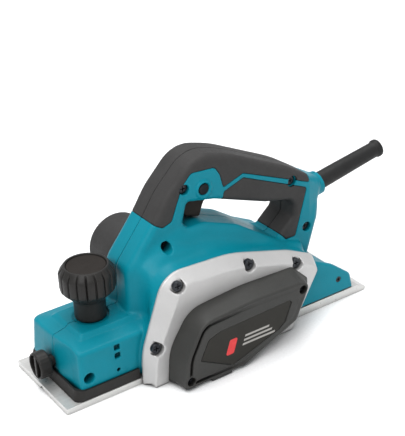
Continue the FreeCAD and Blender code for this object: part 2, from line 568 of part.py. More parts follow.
def belt_loop(extra):
    """The outline round both pulleys, extra outside their radii, as a solid band's outer or inner shape."""
    r0, r1 = DRUM_PULLEY_R + extra, MOTOR_PULLEY_R + extra
    dx, dz = MOTOR_X - DRUM_X, MOTOR_Z - DRUM_Z
    reach = math.hypot(dx, dz)
    along = math.atan2(dz, dx)
    lean = math.acos((r0 - r1) / reach)
    corners = []
    for sign in (1, -1):
        a = along + sign * lean
        for cx, cz, r in ((DRUM_X, DRUM_Z, r0), (MOTOR_X, MOTOR_Z, r1)):
            corners.append(Vector(cx + r * math.cos(a), BELT_Y0, cz + r * math.sin(a)))
    top0, top1, low0, low1 = corners
    back = Vector(DRUM_X - r0 * math.cos(along), BELT_Y0, DRUM_Z - r0 * math.sin(along))
    front = Vector(MOTOR_X + r1 * math.cos(along), BELT_Y0, MOTOR_Z + r1 * math.sin(along))
    wire = Part.Wire([Part.makeLine(top0, top1), Part.Arc(top1, front, low1).toShape(),
                      Part.makeLine(low1, low0), Part.Arc(low0, back, top0).toShape()])
    return Part.Face(wire).extrude(Vector(0, BELT_Y1 - BELT_Y0, 0))


def pulley(x, z, r, hub_y1):
    """A flanged pulley for a ribbed belt: five V grooves and a flange each side."""
    body = rod_y(x, z, r, BELT_Y0, BELT_Y1)
    grooves = []
    for i in range(5):
        y = BELT_Y0 + 0.9 + 1.8 * i
        grooves.append(ring_y(x, z, r + 1, r - 1.0, y - 0.35, y + 0.35))
    flanges = [rod_y(x, z, r + 1.6, BELT_Y0 - 1.6, BELT_Y0 - 0.2),
               rod_y(x, z, r + 1.6, BELT_Y1 + 0.2, BELT_Y1 + 1.6)]
    core = rod_y(x, z, r - 2, BELT_Y0 - 1.6, hub_y1)
    return fuse([body.cut(grooves), core] + flanges).cut(rod_y(x, z, SHAFT_R, -FAR, FAR))


# ---------------------------------------------------------------- drum
def turned(shape, angle):
    """A copy turned about the drum axis."""
    copy = shape.copy()
    copy.rotate(Vector(DRUM_X, 0, DRUM_Z), Vector(0, 1, 0), angle)
    return copy


def drum_pieces():
    """The drum is modelled with one knife pocket on top, and its second knife by half a turn."""
    tilt = 35.0
    length = BODY_HALF - 0.4
    pocket = box(DRUM_X - 7, DRUM_X + 7, -FAR, FAR, DRUM_Z + 16, DRUM_Z + 40)
    blade = box(DRUM_X - 7, DRUM_X - 5.9, -BODY_HALF, BODY_HALF, DRUM_Z + 17.5, DRUM_Z + 27.6)
    clamp = plate([(DRUM_X - 5.9, DRUM_Z + 16), (DRUM_X + 7, DRUM_Z + 16), (DRUM_X + 7, DRUM_Z + 24.6),
                   (DRUM_X - 2.0, DRUM_Z + 26.2, 1.5), (DRUM_X - 5.9, DRUM_Z + 23.0)], -length, length)
    bolts = []
    for y in (-30, -10, 10, 30):
        head = rod_z(DRUM_X + 1.4, y, 3.6, DRUM_Z + 22.0, DRUM_Z + 25.0)
        socket = rod_z(DRUM_X + 1.4, y, 1.7, DRUM_Z + 23.0, DRUM_Z + 26.0)
        shank = rod_z(DRUM_X + 1.4, y, 2.4, DRUM_Z + 10.0, DRUM_Z + 23.0)
        bolts.append(fuse([head, shank]).cut(socket))
    holes = []
    for y in (-30, -10, 10, 30):
        holes.append(rod_z(DRUM_X + 1.4, y, 3.6 + FIT, DRUM_Z + 21.9, DRUM_Z + 40))
        holes.append(rod_z(DRUM_X + 1.4, y, 2.4 + FIT, DRUM_Z + 9.9, DRUM_Z + 23.0))
    clamp = clamp.cut(holes)
    core = rod_y(DRUM_X, DRUM_Z, DRUM_R, -length, length)
    shaft = [rod_y(DRUM_X, DRUM_Z, SHAFT_R, -69.8, 45.8), rod_y(DRUM_X, DRUM_Z, 6.4, -55.5, BODY_HALF)]
    cuts = []
    for turn in (tilt, tilt + 180):
        cuts.append(turned(pocket, turn))
        cuts += [turned(hole, turn) for hole in holes]
    # two plain flats between the knife pockets
    for turn in (tilt + 90, tilt + 270):
        cuts.append(turned(box(DRUM_X - 12, DRUM_X + 12, -FAR, FAR, DRUM_Z + 24.2, DRUM_Z + 40), turn))
    core = fuse([core.cut(cuts)] + shaft)
    both = (tilt, tilt + 180)
    return {
        "cutter_drum": core,
        "planer_blades": group([turned(blade, t) for t in both]),
        "blade_clamps": group([turned(clamp, t) for t in both]),
        "blade_bolts": group([turned(bolt, t) for t in both for bolt in bolts]),
        "drum_pulley": pulley(DRUM_X, DRUM_Z, DRUM_PULLEY_R, -55.5),
        "drum_pulley_nut": hex_nut(DRUM_X, DRUM_Z, 7.0, -70.0, BELT_Y0 - 1.6, SHAFT_R),
    }


def hex_nut(x, z, r, y0, y1, hole_r):
    angles = [math.radians(60 * i) for i in range(6)]
    corners = [(x + r * math.cos(a), z + r * math.sin(a)) for a in angles]
    return plate(corners, y0, y1).cut(rod_y(x, z, hole_r, -FAR, FAR))


def bearing(x, z, r_out, r_in, y0, y1):
    """A shielded ball bearing shown as one ring with sunk shields."""
    ring = ring_y(x, z, r_out, r_in, y0, y1)
    shield = ring_y(x, z, r_out - 2.0, r_in + 1.8, y0 - 1, y0 + 0.5)
    other = ring_y(x, z, r_out - 2.0, r_in + 1.8, y1 - 0.5, y1 + 1)
    return ring.cut([shield, other])


def bearing_plate():
    """The plate on the chip side that holds the drum's outer bearing; the knife ends stay open below it."""
    body = rod_y(DRUM_X, DRUM_Z, 36.0, BODY_HALF, 47.0).cut(box(-FAR, FAR, -FAR, FAR, -FAR, DRUM_Z - 8.0))
    foot = rod_y(DRUM_X, DRUM_Z, 15.0, BODY_HALF, 47.0).cut(box(-FAR, FAR, -FAR, FAR, -FAR, 15.0))
    cuts = [
        rod_y(DRUM_X, DRUM_Z, OUTER_SEAT_R + FIT, BODY_HALF - 1, 46.0),
        rod_y(LOBE_X, LOBE_Z, NOZZLE_R + 1.4, 0, FAR),
    ]
    for angle in PLATE_SCREW_ANGLES:
        a = math.radians(angle)
        x, z = DRUM_X + PLATE_SCREW_CIRCLE * math.cos(a), DRUM_Z + PLATE_SCREW_CIRCLE * math.sin(a)
        cuts.append(rod_y(x, z, 1.0 + FIT, 0, FAR))
        cuts.append(rod_y(x, z, 2.2 + FIT, 45.4, FAR))
    return fuse([body, foot]).cut(cuts)


def bearing_plate_screws():
    screws = []
    for angle in PLATE_SCREW_ANGLES:
        a = math.radians(angle)
        x, z = DRUM_X + PLATE_SCREW_CIRCLE * math.cos(a), DRUM_Z + PLATE_SCREW_CIRCLE * math.sin(a)
        screws.append(side_screw(x, z, 47.4, 35.0, 2.2, 1.0, 2.0))
    return group(screws)


# ---------------------------------------------------------------- motor
def armature():
    x, z = MOTOR_X, MOTOR_Z
    slots = []
    for i in range(12):
        a = 2 * math.pi * i / 12
        slots.append(rod_y(x + 15.6 * math.cos(a), z + 15.6 * math.sin(a), 1.7, -12, 18))
    core = rod_y(x, z, 16.8, -8, 14).cut(slots).cut(rod_y(x, z, SHAFT_R, -FAR, FAR))
    windings = [ring_y(x, z, 14.6, SHAFT_R, -13, -8), ring_y(x, z, 14.6, SHAFT_R, 14, 19)]
    slit = box(x - 0.2, x + 0.2, 20, 31, z + 9.4, z + 12)
    commutator = ring_y(x, z, 11.0, SHAFT_R, 20, 30)
    cuts = []
    for i in range(24):
        copy = slit.copy()
        copy.rotate(Vector(x, 0, z), Vector(0, 1, 0), 15 * i)
        cuts.append(copy)
    commutator = commutator.cut(cuts)
    hub = ring_y(x, z, 8.0, SHAFT_R, -28, -18)
    disc = ring_y(x, z, 23.0, SHAFT_R, -19.6, -18)
    blades = []
    for i in range(11):
        blade = box(x + 7.5, x + 23.0, -28, -18.5, z - 0.8, z + 0.8)
        blade.rotate(Vector(x, 0, z), Vector(0, 1, 0), 360 / 11 * i)
        blades.append(blade)
    return {
        "motor_shaft": rod_y(x, z, SHAFT_R, -69.8, 39.0),
        "armature_core": core,
        "armature_windings": group(windings),
        "commutator": commutator,
        "cooling_fan": fuse([hub, disc] + blades),
        "motor_pulley": pulley(x, z, MOTOR_PULLEY_R, -55.5),
        "motor_pulley_nut": hex_nut(x, z, 7.0, -70.0, BELT_Y0 - 1.6, SHAFT_R),
    }


def stator():
    x, z = MOTOR_X, MOTOR_Z
    core = ring_y(x, z, STATOR_R, STATOR_R - 4, -10, 16)
    poles = ring_y(x, z, STATOR_R - 3.5, 17.5, -10, 16).common(box(x - 12, x + 12, -10, 16, z - 30, z + 30))
    coil = ring_y(x, z, 25.0, 18.6, -16, -10)
    coil_far = ring_y(x, z, 25.0, 18.6, 16, 20.5)
    gap = box(x - 2, x + 2, -FAR, FAR, z - 30, z + 30)
    coils = coil.cut(gap).Solids + coil_far.cut(gap).Solids
    return fuse([core, poles]), group(coils)


def brush_gear():
    x, z = MOTOR_X, MOTOR_Z
    brushes, holders = [], []
    for side in (-1, 1):
        a, b = sorted((x + side * 11.3, x + side * 18.0))
        brushes.append(box(a, b, 22, 28, z - 2.5, z + 2.5))
        c, d = sorted((x + side * 12.6, x + side * 23.0))
        passage = box(c - 1, d + 1, 21.95, 28.05, z - 2.55, z + 2.55)
        tube = box(c, d, 20.9, 29.1, z - 3.6, z + 3.6).cut(passage)
        holders.append(tube)
    return group(brushes), group(holders)


# ---------------------------------------------------------------- switch, trigger and button
def trigger():
    """A finger lever that turns about its front pin."""
    shape = plate([(-19.4, 133.4, 2), (-19.4, 125), (-13.5, 111, 1.5), (-8, 109.3, 6), (0.5, 106.3, 1.5),
                   (4.5, 117, 6), (11.5, 125, 1), (11.5, 133.4, 1)], -TRIGGER_HALF, TRIGGER_HALF)
    return shape.cut(rod_y(*TRIGGER_PIVOT, 2.06, -FAR, FAR))


def lock_off_button():
    stem = rod_y(*BUTTON_AT, BUTTON_R, -18.6, -13.0)
    return stem.cut(Part.makeSphere(12.0, Vector(BUTTON_AT[0], -29.8, BUTTON_AT[1])))


# ---------------------------------------------------------------- writing every node
def main():
    blank, core = handle_blank(), handle_core()
    grip_nodes = grips(blank, core)
    left, right = housing(grip_nodes.values())
    nodes = {"housing_left": left, "housing_right": right}
    nodes.update(grip_nodes)
    nodes["frame_casting"] = frame_casting()
    nodes["frame_screws"] = group([side_screw(x, z, -50.0, -31.0, 4.0, 2.2) for x, z in FRAME_SCREWS])
    nodes["belt_cover"] = belt_cover()
    nodes["belt_cover_screws"] = group([side_screw(x, z, -69.0, -44.0, 3.4, 1.9) for x, z in COVER_SCREWS])
    nodes["badge_plate"] = inset_plate(LABEL_PANEL, 0.6, COVER_FACE_Y + 0.6, COVER_FACE_Y + 1.2)
    belt_gap = 0.15
    nodes["drive_belt"] = belt_loop(belt_gap + BELT_THICK).cut(belt_loop(belt_gap))
    nodes["rear_base"] = rear_base()
    flat_screws = []
    for side in (-1, 1):
        y = side * REAR_BASE_SCREW_Y
        head = cone_z(REAR_BASE_SCREW_X, y, 3.8, 2.0, 0.15, 2.4)
        socket = rod_z(REAR_BASE_SCREW_X, y, 1.4, 0.0, 1.5)
        flat_screws.append(fuse([head, rod_z(REAR_BASE_SCREW_X, y, 2.0, 2.0, 11.0)]).cut(socket))
    nodes["rear_base_screws"] = group(flat_screws)
    nodes["housing_screws"] = group(
        [side_screw(x, z, -15.0, 11.0, SCREW_HEAD_R, SCREW_SHANK_R) for x, z in HANDLE_SCREWS])
    nodes["tail_screws"] = group(
        [side_screw(*TAIL_SCREW, s * (BODY_HALF - 0.2), s * 32.5, 2.5, 1.4, 1.8) for s in (-1, 1)])
    nodes["bearing_plate"] = bearing_plate()
    nodes["bearing_plate_screws"] = bearing_plate_screws()
    nodes["drum_bearings"] = group([bearing(DRUM_X, DRUM_Z, INNER_SEAT_R, 6.45, -48.0, -41.5),
                                    bearing(DRUM_X, DRUM_Z, OUTER_SEAT_R, SHAFT_R + FIT, 41.6, 46.0)])
    nodes["motor_bearings"] = group([bearing(MOTOR_X, MOTOR_Z, INNER_SEAT_R, SHAFT_R + FIT, -48.0, -41.0),
                                     bearing(MOTOR_X, MOTOR_Z, OUTER_SEAT_R, SHAFT_R + FIT, 32.0, 39.0)])
    nodes["stator_core"], nodes["field_coils"] = stator()
    nodes["fan_baffle"] = ring_y(MOTOR_X, MOTOR_Z, 26.8, 15.5, -17.6, -16.6)
    nodes["carbon_brushes"], nodes["brush_holders"] = brush_gear()
    nodes["switch_body"] = fuse([box(16, 42, -7, 7, 127.5, 140), box(6, 17, -3, 3, 138.6, 140)])
    nodes["trigger_pin"] = rod_y(*TRIGGER_PIVOT, 2.0, -14.3, 14.3)
    nodes["depth_screw_bush"] = rod_z(KNOB_X, 0, BUSH_R, BLOCK_TOP - 12.5, BLOCK_TOP - 0.6).cut(
        rod_z(KNOB_X, 0, 5.06, 30, 60))
    nodes["base_spring"] = coil_spring(KNOB_X, 0, 14.0, 1.1, FRONT_BASE_THICK, BLOCK_TOP - 13.0, 5)
    nodes["cord_guard"] = cord_guard()
    nodes["cord_clamp"] = box(97, 105, -8, 8, 78, 81).cut([rod_z(101, y, 1.3, 70, 90) for y in (-5.5, 5.5)])
    nodes["cord_clamp_screws"] = group(
        [fuse([rod_z(101, y, 2.4, 81, 83), rod_z(101, y, 1.25, 72, 82)]) for y in (-5.5, 5.5)])
    nodes["chip_nozzle"] = chip_nozzle()
    nodes["front_base"] = front_base()
    nodes["front_base_skirt"] = front_base_skirt()
    nodes["depth_knob"] = depth_knob()
    nodes["depth_knob_cap"] = rod_z(KNOB_X, 0, 15.5, 92.0, 94.7)
    nodes["depth_screw"] = rod_z(KNOB_X, 0, 5.0, 11.0, 92.0)
    nodes["guide_clamp_knob"] = guide_clamp_knob()
    nodes["guide_clamp_screw"] = rod_x(GUIDE_KNOB_Y, GUIDE_Z, 3.0, -146.0, GUIDE_X - GUIDE_R - 0.2)
    nodes.update(drum_pieces())
    nodes.update(armature())
    nodes["trigger"] = trigger()
    nodes["lock_off_button"] = lock_off_button()
    for name in sorted(nodes):
        write(name, nodes[name])
    print(len(nodes), "nodes")


main()
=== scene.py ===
"""Looks for the electric hand planer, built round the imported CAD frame.

Shapes are worked out in millimetres as signed distances (negative inside), meshed, and scaled to metres.
-X is the front (depth knob), +X the back (cord guard), -Y the belt side, +Z up, as in the CAD frame.
"""

import math

import bpy
import numpy as np
from mathutils import Matrix, Vector


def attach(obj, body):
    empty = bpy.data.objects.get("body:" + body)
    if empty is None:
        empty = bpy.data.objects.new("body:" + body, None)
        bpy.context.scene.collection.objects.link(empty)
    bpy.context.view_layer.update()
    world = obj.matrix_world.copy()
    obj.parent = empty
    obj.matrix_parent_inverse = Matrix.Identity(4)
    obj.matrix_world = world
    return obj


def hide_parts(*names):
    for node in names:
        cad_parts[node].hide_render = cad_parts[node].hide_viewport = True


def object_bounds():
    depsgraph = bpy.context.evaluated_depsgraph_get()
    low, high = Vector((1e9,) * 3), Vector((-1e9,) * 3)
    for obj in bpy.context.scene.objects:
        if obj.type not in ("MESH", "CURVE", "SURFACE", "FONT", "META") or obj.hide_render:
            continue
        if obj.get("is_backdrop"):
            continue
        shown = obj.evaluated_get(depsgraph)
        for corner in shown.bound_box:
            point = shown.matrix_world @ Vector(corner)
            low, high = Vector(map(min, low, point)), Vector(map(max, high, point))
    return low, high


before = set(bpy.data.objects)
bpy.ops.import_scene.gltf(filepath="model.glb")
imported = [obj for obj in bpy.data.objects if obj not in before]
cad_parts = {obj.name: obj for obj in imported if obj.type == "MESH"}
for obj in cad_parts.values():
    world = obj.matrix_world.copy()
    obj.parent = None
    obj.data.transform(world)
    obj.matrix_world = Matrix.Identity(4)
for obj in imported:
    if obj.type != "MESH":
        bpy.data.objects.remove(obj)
CAD_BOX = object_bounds()
MM = 0.001
STEP = 0.9       # mesh spacing of the large moulded shells, in mm
FINE = 0.6       # mesh spacing of the smaller moulded pieces

# ---------------------------------------------------------------- places and sizes, shared with the CAD
DRUM_X, DRUM_Z = -32.0, 28.5
CHAMBER_R, HOOD_R, HOOD_WALL = 34.5, 33.6, 3.0
SEAT_R = 11.05          # bearing seats in the side casting
MOTOR_X, MOTOR_Z = 33.0, 39.0
KNOB_X = -99.35
BLOCK_TOP = 50.0
GUIDE_X, GUIDE_Z, GUIDE_R, GUIDE_KNOB_Y = -124.2, 21.3, 4.5, 2.5
BODY_HALF, HANDLE_HALF = 41.0, 18.0
BODY_BOTTOM, REAR_BASE_TOP = 8.0, 7.4
GRIP_SKIN = 2.2
FRAME_SHOULDER_Y, FRAME_FACE_Y, COVER_FACE_Y = -43.0, -53.0, -73.0
LOBE_X, LOBE_Z, LOBE_R, LOBE_END_Y = -38.0, 68.0, 26.5, 28.0
NOZZLE_R, LOBE_BORE_R = 26.0, 23.0
NOZZLE_SHOULDER_Y, NOZZLE_STOP_Y = 31.2, 42.0          # where its bore widens
SPIGOT_BORE_R, NECK_BORE_R, MOUTH_BORE_R = 20.6, 21.4, 23.4
TRIGGER_PIVOT = (-17.0, 130.0)
BUTTON_AT = (-1.2, 134.7)
GUARD_ROOT, GUARD_TIP = Vector((116.0, 0, 92.8)), Vector((195.6, 0, 107.7))
COLLAR_R, COLLAR_START, COLLAR_END = 10.4, -8.0, 11.5     # radius, and ends along the guard's axis
FRAME_SCREWS = [(-72.0, 33.0), (-49.5, 80.0), (17.0, 75.5), (64.0, 60.0)]
COVER_SCREWS = [(-56.0, 8.2), (53.0, 49.6)]
HANDLE_SCREWS = [(-40.0, 98.0), (-18.5, 139.0), (86.0, 114.4), (101.0, 67.7)]
TAIL_SCREW = (117.2, 20.8)
SCREW_RECESS_R = 4.2

# side outlines: x, z and corner radius
LOWER_BODY = [
    (-80, BODY_BOTTOM), (-79.5, 28, 60), (-56.5, 87.5, 22), (5, 85.5, 100), (61, 68.5, 60), (85, 56.5, 8),
    (93, 46.5, 3), (111.3, 37.2, 40), (130.6, 22, 5), (133.8, REAR_BASE_TOP),
    (-20, REAR_BASE_TOP), (-20, BODY_BOTTOM),
]
TAIL_GAP = [(105, 95), (105, 34), (110, REAR_BASE_TOP), (160, REAR_BASE_TOP), (160, 95)]
WING_INSIDE = 37.5
HUMP = [
    (-62, 40), (-62, 88, 12), (-24, 106, 10), (-2, 104.5, 20), (30, 92, 40), (72, 63.5, 12), (92, 58),
    (92, 40),
]
HANDLE = [
    (-74, 45), (-74, 86, 14), (-47.5, 118.7, 60), (-35.2, 136.8, 60), (-6.6, 165.2, 28),
    (26, 155.6, 110), (85, 127.2, 150), (110, 110.8, 8), (123.5, 103.2, 4), (125, 96, 5),
    (121.3, 86.5, 8), (104, 38), (100, 30), (0, 45),
]
OPENING = [
    (-22, 106, 5), (-16, 127, 3), (10, 121.5, 20), (60, 103, 20), (88.5, 96, 9), (87.5, 81, 6), (70, 66, 4),
    (30, 93.5, 40), (-2, 106, 20),
]
UPPER_GRIP_ZONE = [
    (-70, 136), (-46, 116.5, 2), (-40, 113, 4), (-31.5, 116, 4), (-27, 127, 4), (-20.5, 142, 4),
    (-12, 151, 5), (10, 149.5, 5), (14.5, 142, 3), (17.5, 130, 1.5), (37, 136.5, 2), (104.5, 108, 2),
    (106.5, 116, 2), (120, 160), (20, 200), (-60, 200),
]
LOWER_GRIP_ZONE = [
    (15, 114), (18, 126.5, 1.5), (37, 133, 2), (101.5, 104.5, 3), (89, 63, 2), (78.8, 63), (66, 78),
    (40, 105),
]
FRAME_BACK = [
    (-81.5, 0.5), (-80.5, 28, 60), (-57, 89.5, 22), (5, 86.5, 100), (61.6, 69.5, 60), (86, 57.5, 8),
    (91.5, 43, 3), (64, 0.5),
]
FRAME_FACE = [
    (-76.5, 0.5), (-74, 26, 60), (-47, 81.5, 18), (4, 78.5, 100), (58, 63.5, 60), (79, 54.5, 6),
    (84.5, 48, 3), (57, 0.5),
]
COVER_BACK = [
    (-65, 2.5), (-62.5, 30, 40), (-43, 58.5, 25), (5, 62.5, 150), (57, 60.5, 6), (74, 44, 4), (70.5, 36, 4),
    (58, 12, 4), (40, 2.5),
]
COVER_FACE = [
    (-61, 2.5), (-58, 28, 30), (-43.5, 55, 16), (5, 58, 150), (50, 56.5, 4), (59, 52, 3), (57.5, 47, 2),
    (46, 24, 4), (-5, 2.5),
]
COVER_CAVITY = [
    (-58.3, 6), (-56.8, 28, 20), (-42.6, 52.8, 14), (5, 55.2, 100), (46, 53.8, 4), (51.5, 48, 2),
    (43, 25.5, 2), (-6, 6),
]
LABEL_PANEL = [
    (-47, 23.4), (-39, 39.5, 5), (-28, 43, 10), (39.5, 45.2, 2), (41.5, 42.5, 1), (35, 27), (29, 22.3, 3),
    (-17.5, 7.2, 2),
]


# ---------------------------------------------------------------- signed distance tools
class Grid:
    """A box of sample points; x, y and z broadcast against each other."""

    def __init__(self, low, high, step):
        self.low = np.array(low, np.float32)
        self.step = step
        axes = [np.arange(a, b + step, step, dtype=np.float32) for a, b in zip(low, high)]
        self.x = axes[0][:, None, None]
        self.y = axes[1][None, :, None]
        self.z = axes[2][None, None, :]


def rounded_outline(corners):
    """The corners (u, v) or (u, v, radius) of an outline, with each radius drawn as a short run of points."""
    flat = [(c[0], c[1], c[2] if len(c) > 2 else 0.0) for c in corners]
    points = []
    for i, (u, v, r) in enumerate(flat):
        here = np.array((u, v), float)
        if r == 0:
            points.append(here)
            continue
        to_last = np.array(flat[i - 1][:2]) - here
        to_next = np.array(flat[(i + 1) % len(flat)][:2]) - here
        to_last /= np.linalg.norm(to_last)
        to_next /= np.linalg.norm(to_next)
        half = math.acos(max(-1.0, min(1.0, float(to_last @ to_next)))) / 2
        start = here + to_last * (r / math.tan(half))
        end = here + to_next * (r / math.tan(half))
        middle = to_last + to_next
        centre = here + middle / np.linalg.norm(middle) * (r / math.sin(half))
        a0, a1 = (math.atan2(*(p - centre)[::-1]) for p in (start, end))
        turn = (a1 - a0 + math.pi) % (2 * math.pi) - math.pi
        for k in range(9):
            a = a0 + turn * k / 8
            points.append(centre + r * np.array((math.cos(a), math.sin(a))))
    return np.array(points)


def outline(corners, u, v):
    """The signed distance to a rounded outline, at the points (u, v)."""
    points = rounded_outline(corners)
    near = np.full(np.broadcast(u, v).shape, 1e9, np.float32)
    inside = np.zeros(near.shape, bool)
    for a, b in zip(points, np.roll(points, -1, axis=0)):
        du, dv = b - a
        length2 = du * du + dv * dv
        if length2 < 1e-9:
            continue
        t = np.clip(((u - a[0]) * du + (v - a[1]) * dv) / length2, 0, 1)
        near = np.minimum(near, (u - a[0] - t * du) ** 2 + (v - a[1] - t * dv) ** 2)
        if dv != 0:
            crosses = ((a[1] > v) != (b[1] > v)) & (u < du * (v - a[1]) / dv + a[0])
            inside ^= crosses
    near = np.sqrt(near)
    return np.where(inside, -near, near).astype(np.float32)


def both(a, b, r=0.0):
    """Where two shapes overlap; r rounds the edge between them."""
    if np.ndim(r) == 0 and r == 0:
        return np.maximum(a, b)
    a, b = a + r, b + r
    return np.minimum(np.maximum(a, b), 0) + np.hypot(np.maximum(a, 0), np.maximum(b, 0)) - r


def join(a, b, k=0.0):
    """The two shapes together; k is the width of the fillet between them."""
    if np.ndim(k) == 0 and k == 0:
        return np.minimum(a, b)
    h = np.maximum(k - np.abs(a - b), 0) / k
    return np.minimum(a, b) - h * h * (k / 4)


def cut(a, b, k=0.0):
    """The first shape with the second taken out."""
    return -join(-a, b, k)


def slab(side, across, r):
    """A side outline's distance, given thickness by the distance across, with rounded edges."""
    return both(side, across, r)


def box_field(g, x, y, z, r=0.5):
    field = both(np.abs(g.x - (x[0] + x[1]) / 2) - (x[1] - x[0]) / 2,
                 np.abs(g.z - (z[0] + z[1]) / 2) - (z[1] - z[0]) / 2, r)
    return both(field, np.abs(g.y - (y[0] + y[1]) / 2) - (y[1] - y[0]) / 2, r)


def rod_y(g, x, z, r, y0, y1, edge=0.0):
    return both(np.hypot(g.x - x, g.z - z) - r, np.abs(g.y - (y0 + y1) / 2) - (y1 - y0) / 2, edge)


def rod_z(g, x, y, r, z0, z1, edge=0.0):
    return both(np.hypot(g.x - x, g.y - y) - r, np.abs(g.z - (z0 + z1) / 2) - (z1 - z0) / 2, edge)


def rod_x(g, y, z, r, x0, x1, edge=0.0):
    return both(np.hypot(g.y - y, g.z - z) - r, np.abs(g.x - (x0 + x1) / 2) - (x1 - x0) / 2, edge)


def rod_along(g, start, end, r):
    """A rod between two points."""
    axis = (end - start).normalized()
    dx, dy, dz = g.x - start.x, g.y - start.y, g.z - start.z
    along = dx * axis.x + dy * axis.y + dz * axis.z
    away = np.sqrt(np.maximum(dx * dx + dy * dy + dz * dz - along * along, 0))
    return np.maximum(away - r, np.maximum(-along, along - (end - start).length))


# ---------------------------------------------------------------- meshing
def mesh_object(name, points, faces):
    """A mesh from points in millimetres and faces of one size."""
    mesh = bpy.data.meshes.new(name)
    points = np.asarray(points, np.float32) * MM
    faces = np.asarray(faces, np.int32)
    count, size = faces.shape
    mesh.vertices.add(len(points))
    mesh.vertices.foreach_set("co", points.ravel())
    mesh.loops.add(count * size)
    mesh.loops.foreach_set("vertex_index", faces.ravel())
    mesh.polygons.add(count)
    mesh.polygons.foreach_set("loop_start", np.arange(0, count * size, size, dtype=np.int32))
    mesh.update(calc_edges=True)
    mesh.validate()
    piece = bpy.data.objects.new(name, mesh)
    bpy.context.scene.collection.objects.link(piece)
    return piece


def shade(piece, angle=38):
    """Smooth shading, with edges sharper than the angle left sharp."""
    piece.data.shade_smooth()
    piece.data.set_sharp_from_angle(angle=math.radians(angle))
    return piece


def solidify_field(name, field, g, angle=38):
    """Meshes the zero surface of a field, with one point in each cell it crosses, kept to sharp edges."""
    field = np.pad(field, 1, constant_values=5.0)
    inside = field < 0
    shape = np.array(field.shape)
    strides = np.array((shape[1] * shape[2], shape[2], 1))
    cells, spots, normals, quads, flips = [], [], [], [], []
    for axis in range(3):
        lower = [slice(None)] * 3
        upper = [slice(None)] * 3
        lower[axis] = slice(None, -1)
        upper[axis] = slice(1, None)
        at = np.argwhere(inside[tuple(lower)] != inside[tuple(upper)])
        step = np.zeros(3, int)
        step[axis] = 1
        end = at + step
        f0 = field[tuple(at.T)]
        f1 = field[tuple(end.T)]
        t = f0 / (f0 - f1)
        spot = at + t[:, None] * step
        slope = np.empty((len(at), 3), np.float32)
        for k in range(3):
            one = np.zeros(3, int)
            one[k] = 1
            ends = []
            for p in (at, end):
                high = np.minimum(p + one, shape - 1)
                low = np.maximum(p - one, 0)
                ends.append(field[tuple(high.T)] - field[tuple(low.T)])
            slope[:, k] = ends[0] * (1 - t) + ends[1] * t
        slope /= np.maximum(np.linalg.norm(slope, axis=1, keepdims=True), 1e-9)
        b, c = (axis + 1) % 3, (axis + 2) % 3
        ring = []
        for db, dc in ((-1, -1), (0, -1), (0, 0), (-1, 0)):
            cell = at.copy()
            cell[:, b] += db
            cell[:, c] += dc
            ring.append(cell @ strides)
        ring = np.stack(ring, axis=1)
        quads.append(ring)
        flips.append(f0 > 0)
        cells.append(ring.ravel())
        spots.append(np.repeat(spot, 4, axis=0))
        normals.append(np.repeat(slope, 4, axis=0))
    quads, flips = np.concatenate(quads), np.concatenate(flips)
    spots, normals = np.concatenate(spots), np.concatenate(normals)
    unique, index = np.unique(np.concatenate(cells), return_inverse=True)
    count = np.bincount(index)
    middle = np.stack([np.bincount(index, spots[:, k]) / count for k in range(3)], axis=1)
    away = np.einsum("ij,ij->i", normals, spots - middle[index])
    left = np.empty((len(unique), 3, 3))
    right = np.empty((len(unique), 3))
    for i in range(3):
        right[:, i] = np.bincount(index, normals[:, i] * away)
        for j in range(3):
            left[:, i, j] = np.bincount(index, normals[:, i] * normals[:, j])
    left += np.eye(3) * 0.12
    shift = np.linalg.solve(left, right[:, :, None])[:, :, 0]
    points = middle + np.clip(shift, -0.7, 0.7)
    points = (points - 1) * g.step + g.low
    faces = np.searchsorted(unique, quads)
    faces[flips] = faces[flips][:, ::-1]
    return shade(mesh_object(name, points, faces), angle)


# ---------------------------------------------------------------- materials
def add(tree, kind, inputs=None, **settings):
    """A node with its settings, and its inputs set to values or linked to sockets."""
    made = tree.nodes.new(kind)
    for key, value in settings.items():
        setattr(made, key, value)
    for key, value in (inputs or {}).items():
        if isinstance(value, bpy.types.NodeSocket):
            tree.links.new(value, made.inputs[key])
        else:
            made.inputs[key].default_value = value
    return made


def ramp(tree, factor, stops):
    """A colour ramp; stops are (position, colour)."""
    made = add(tree, "ShaderNodeValToRGB", {"Fac": factor})
    line = made.color_ramp
    while len(line.elements) < len(stops):
        line.elements.new(0.5)
    for element, (position, colour) in zip(line.elements, stops):
        element.position = position
        element.color = (*colour, 1.0)
    return made.outputs["Color"]


def grey(value):
    return (value, value, value)


def mixed(tree, factor, a, b, blend="MIX"):
    made = add(tree, "ShaderNodeMix", data_type="RGBA", blend_type=blend)
    for socket, value in ((made.inputs[0], factor), (made.inputs[6], a), (made.inputs[7], b)):
        if isinstance(value, bpy.types.NodeSocket):
            tree.links.new(value, socket)
        elif isinstance(value, tuple):
            socket.default_value = (*value, 1.0)
        else:
            socket.default_value = value
    return made.outputs[2]


def edge_mask(tree, radius, low, high):
    """White along convex and concave edges, from how far a bevelled normal leans from the true one."""
    bent = add(tree, "ShaderNodeBevel", {"Radius": radius}, samples=4)
    true = add(tree, "ShaderNodeNewGeometry")
    dot = add(tree, "ShaderNodeVectorMath", {0: bent.outputs["Normal"], 1: true.outputs["Normal"]},
              operation="DOT_PRODUCT")
    spread = add(tree, "ShaderNodeMapRange", {
        "Value": dot.outputs["Value"], "From Min": 1.0 - low, "From Max": 1.0 - high,
        "To Min": 0.0, "To Max": 1.0,
    })
    return spread.outputs["Result"]


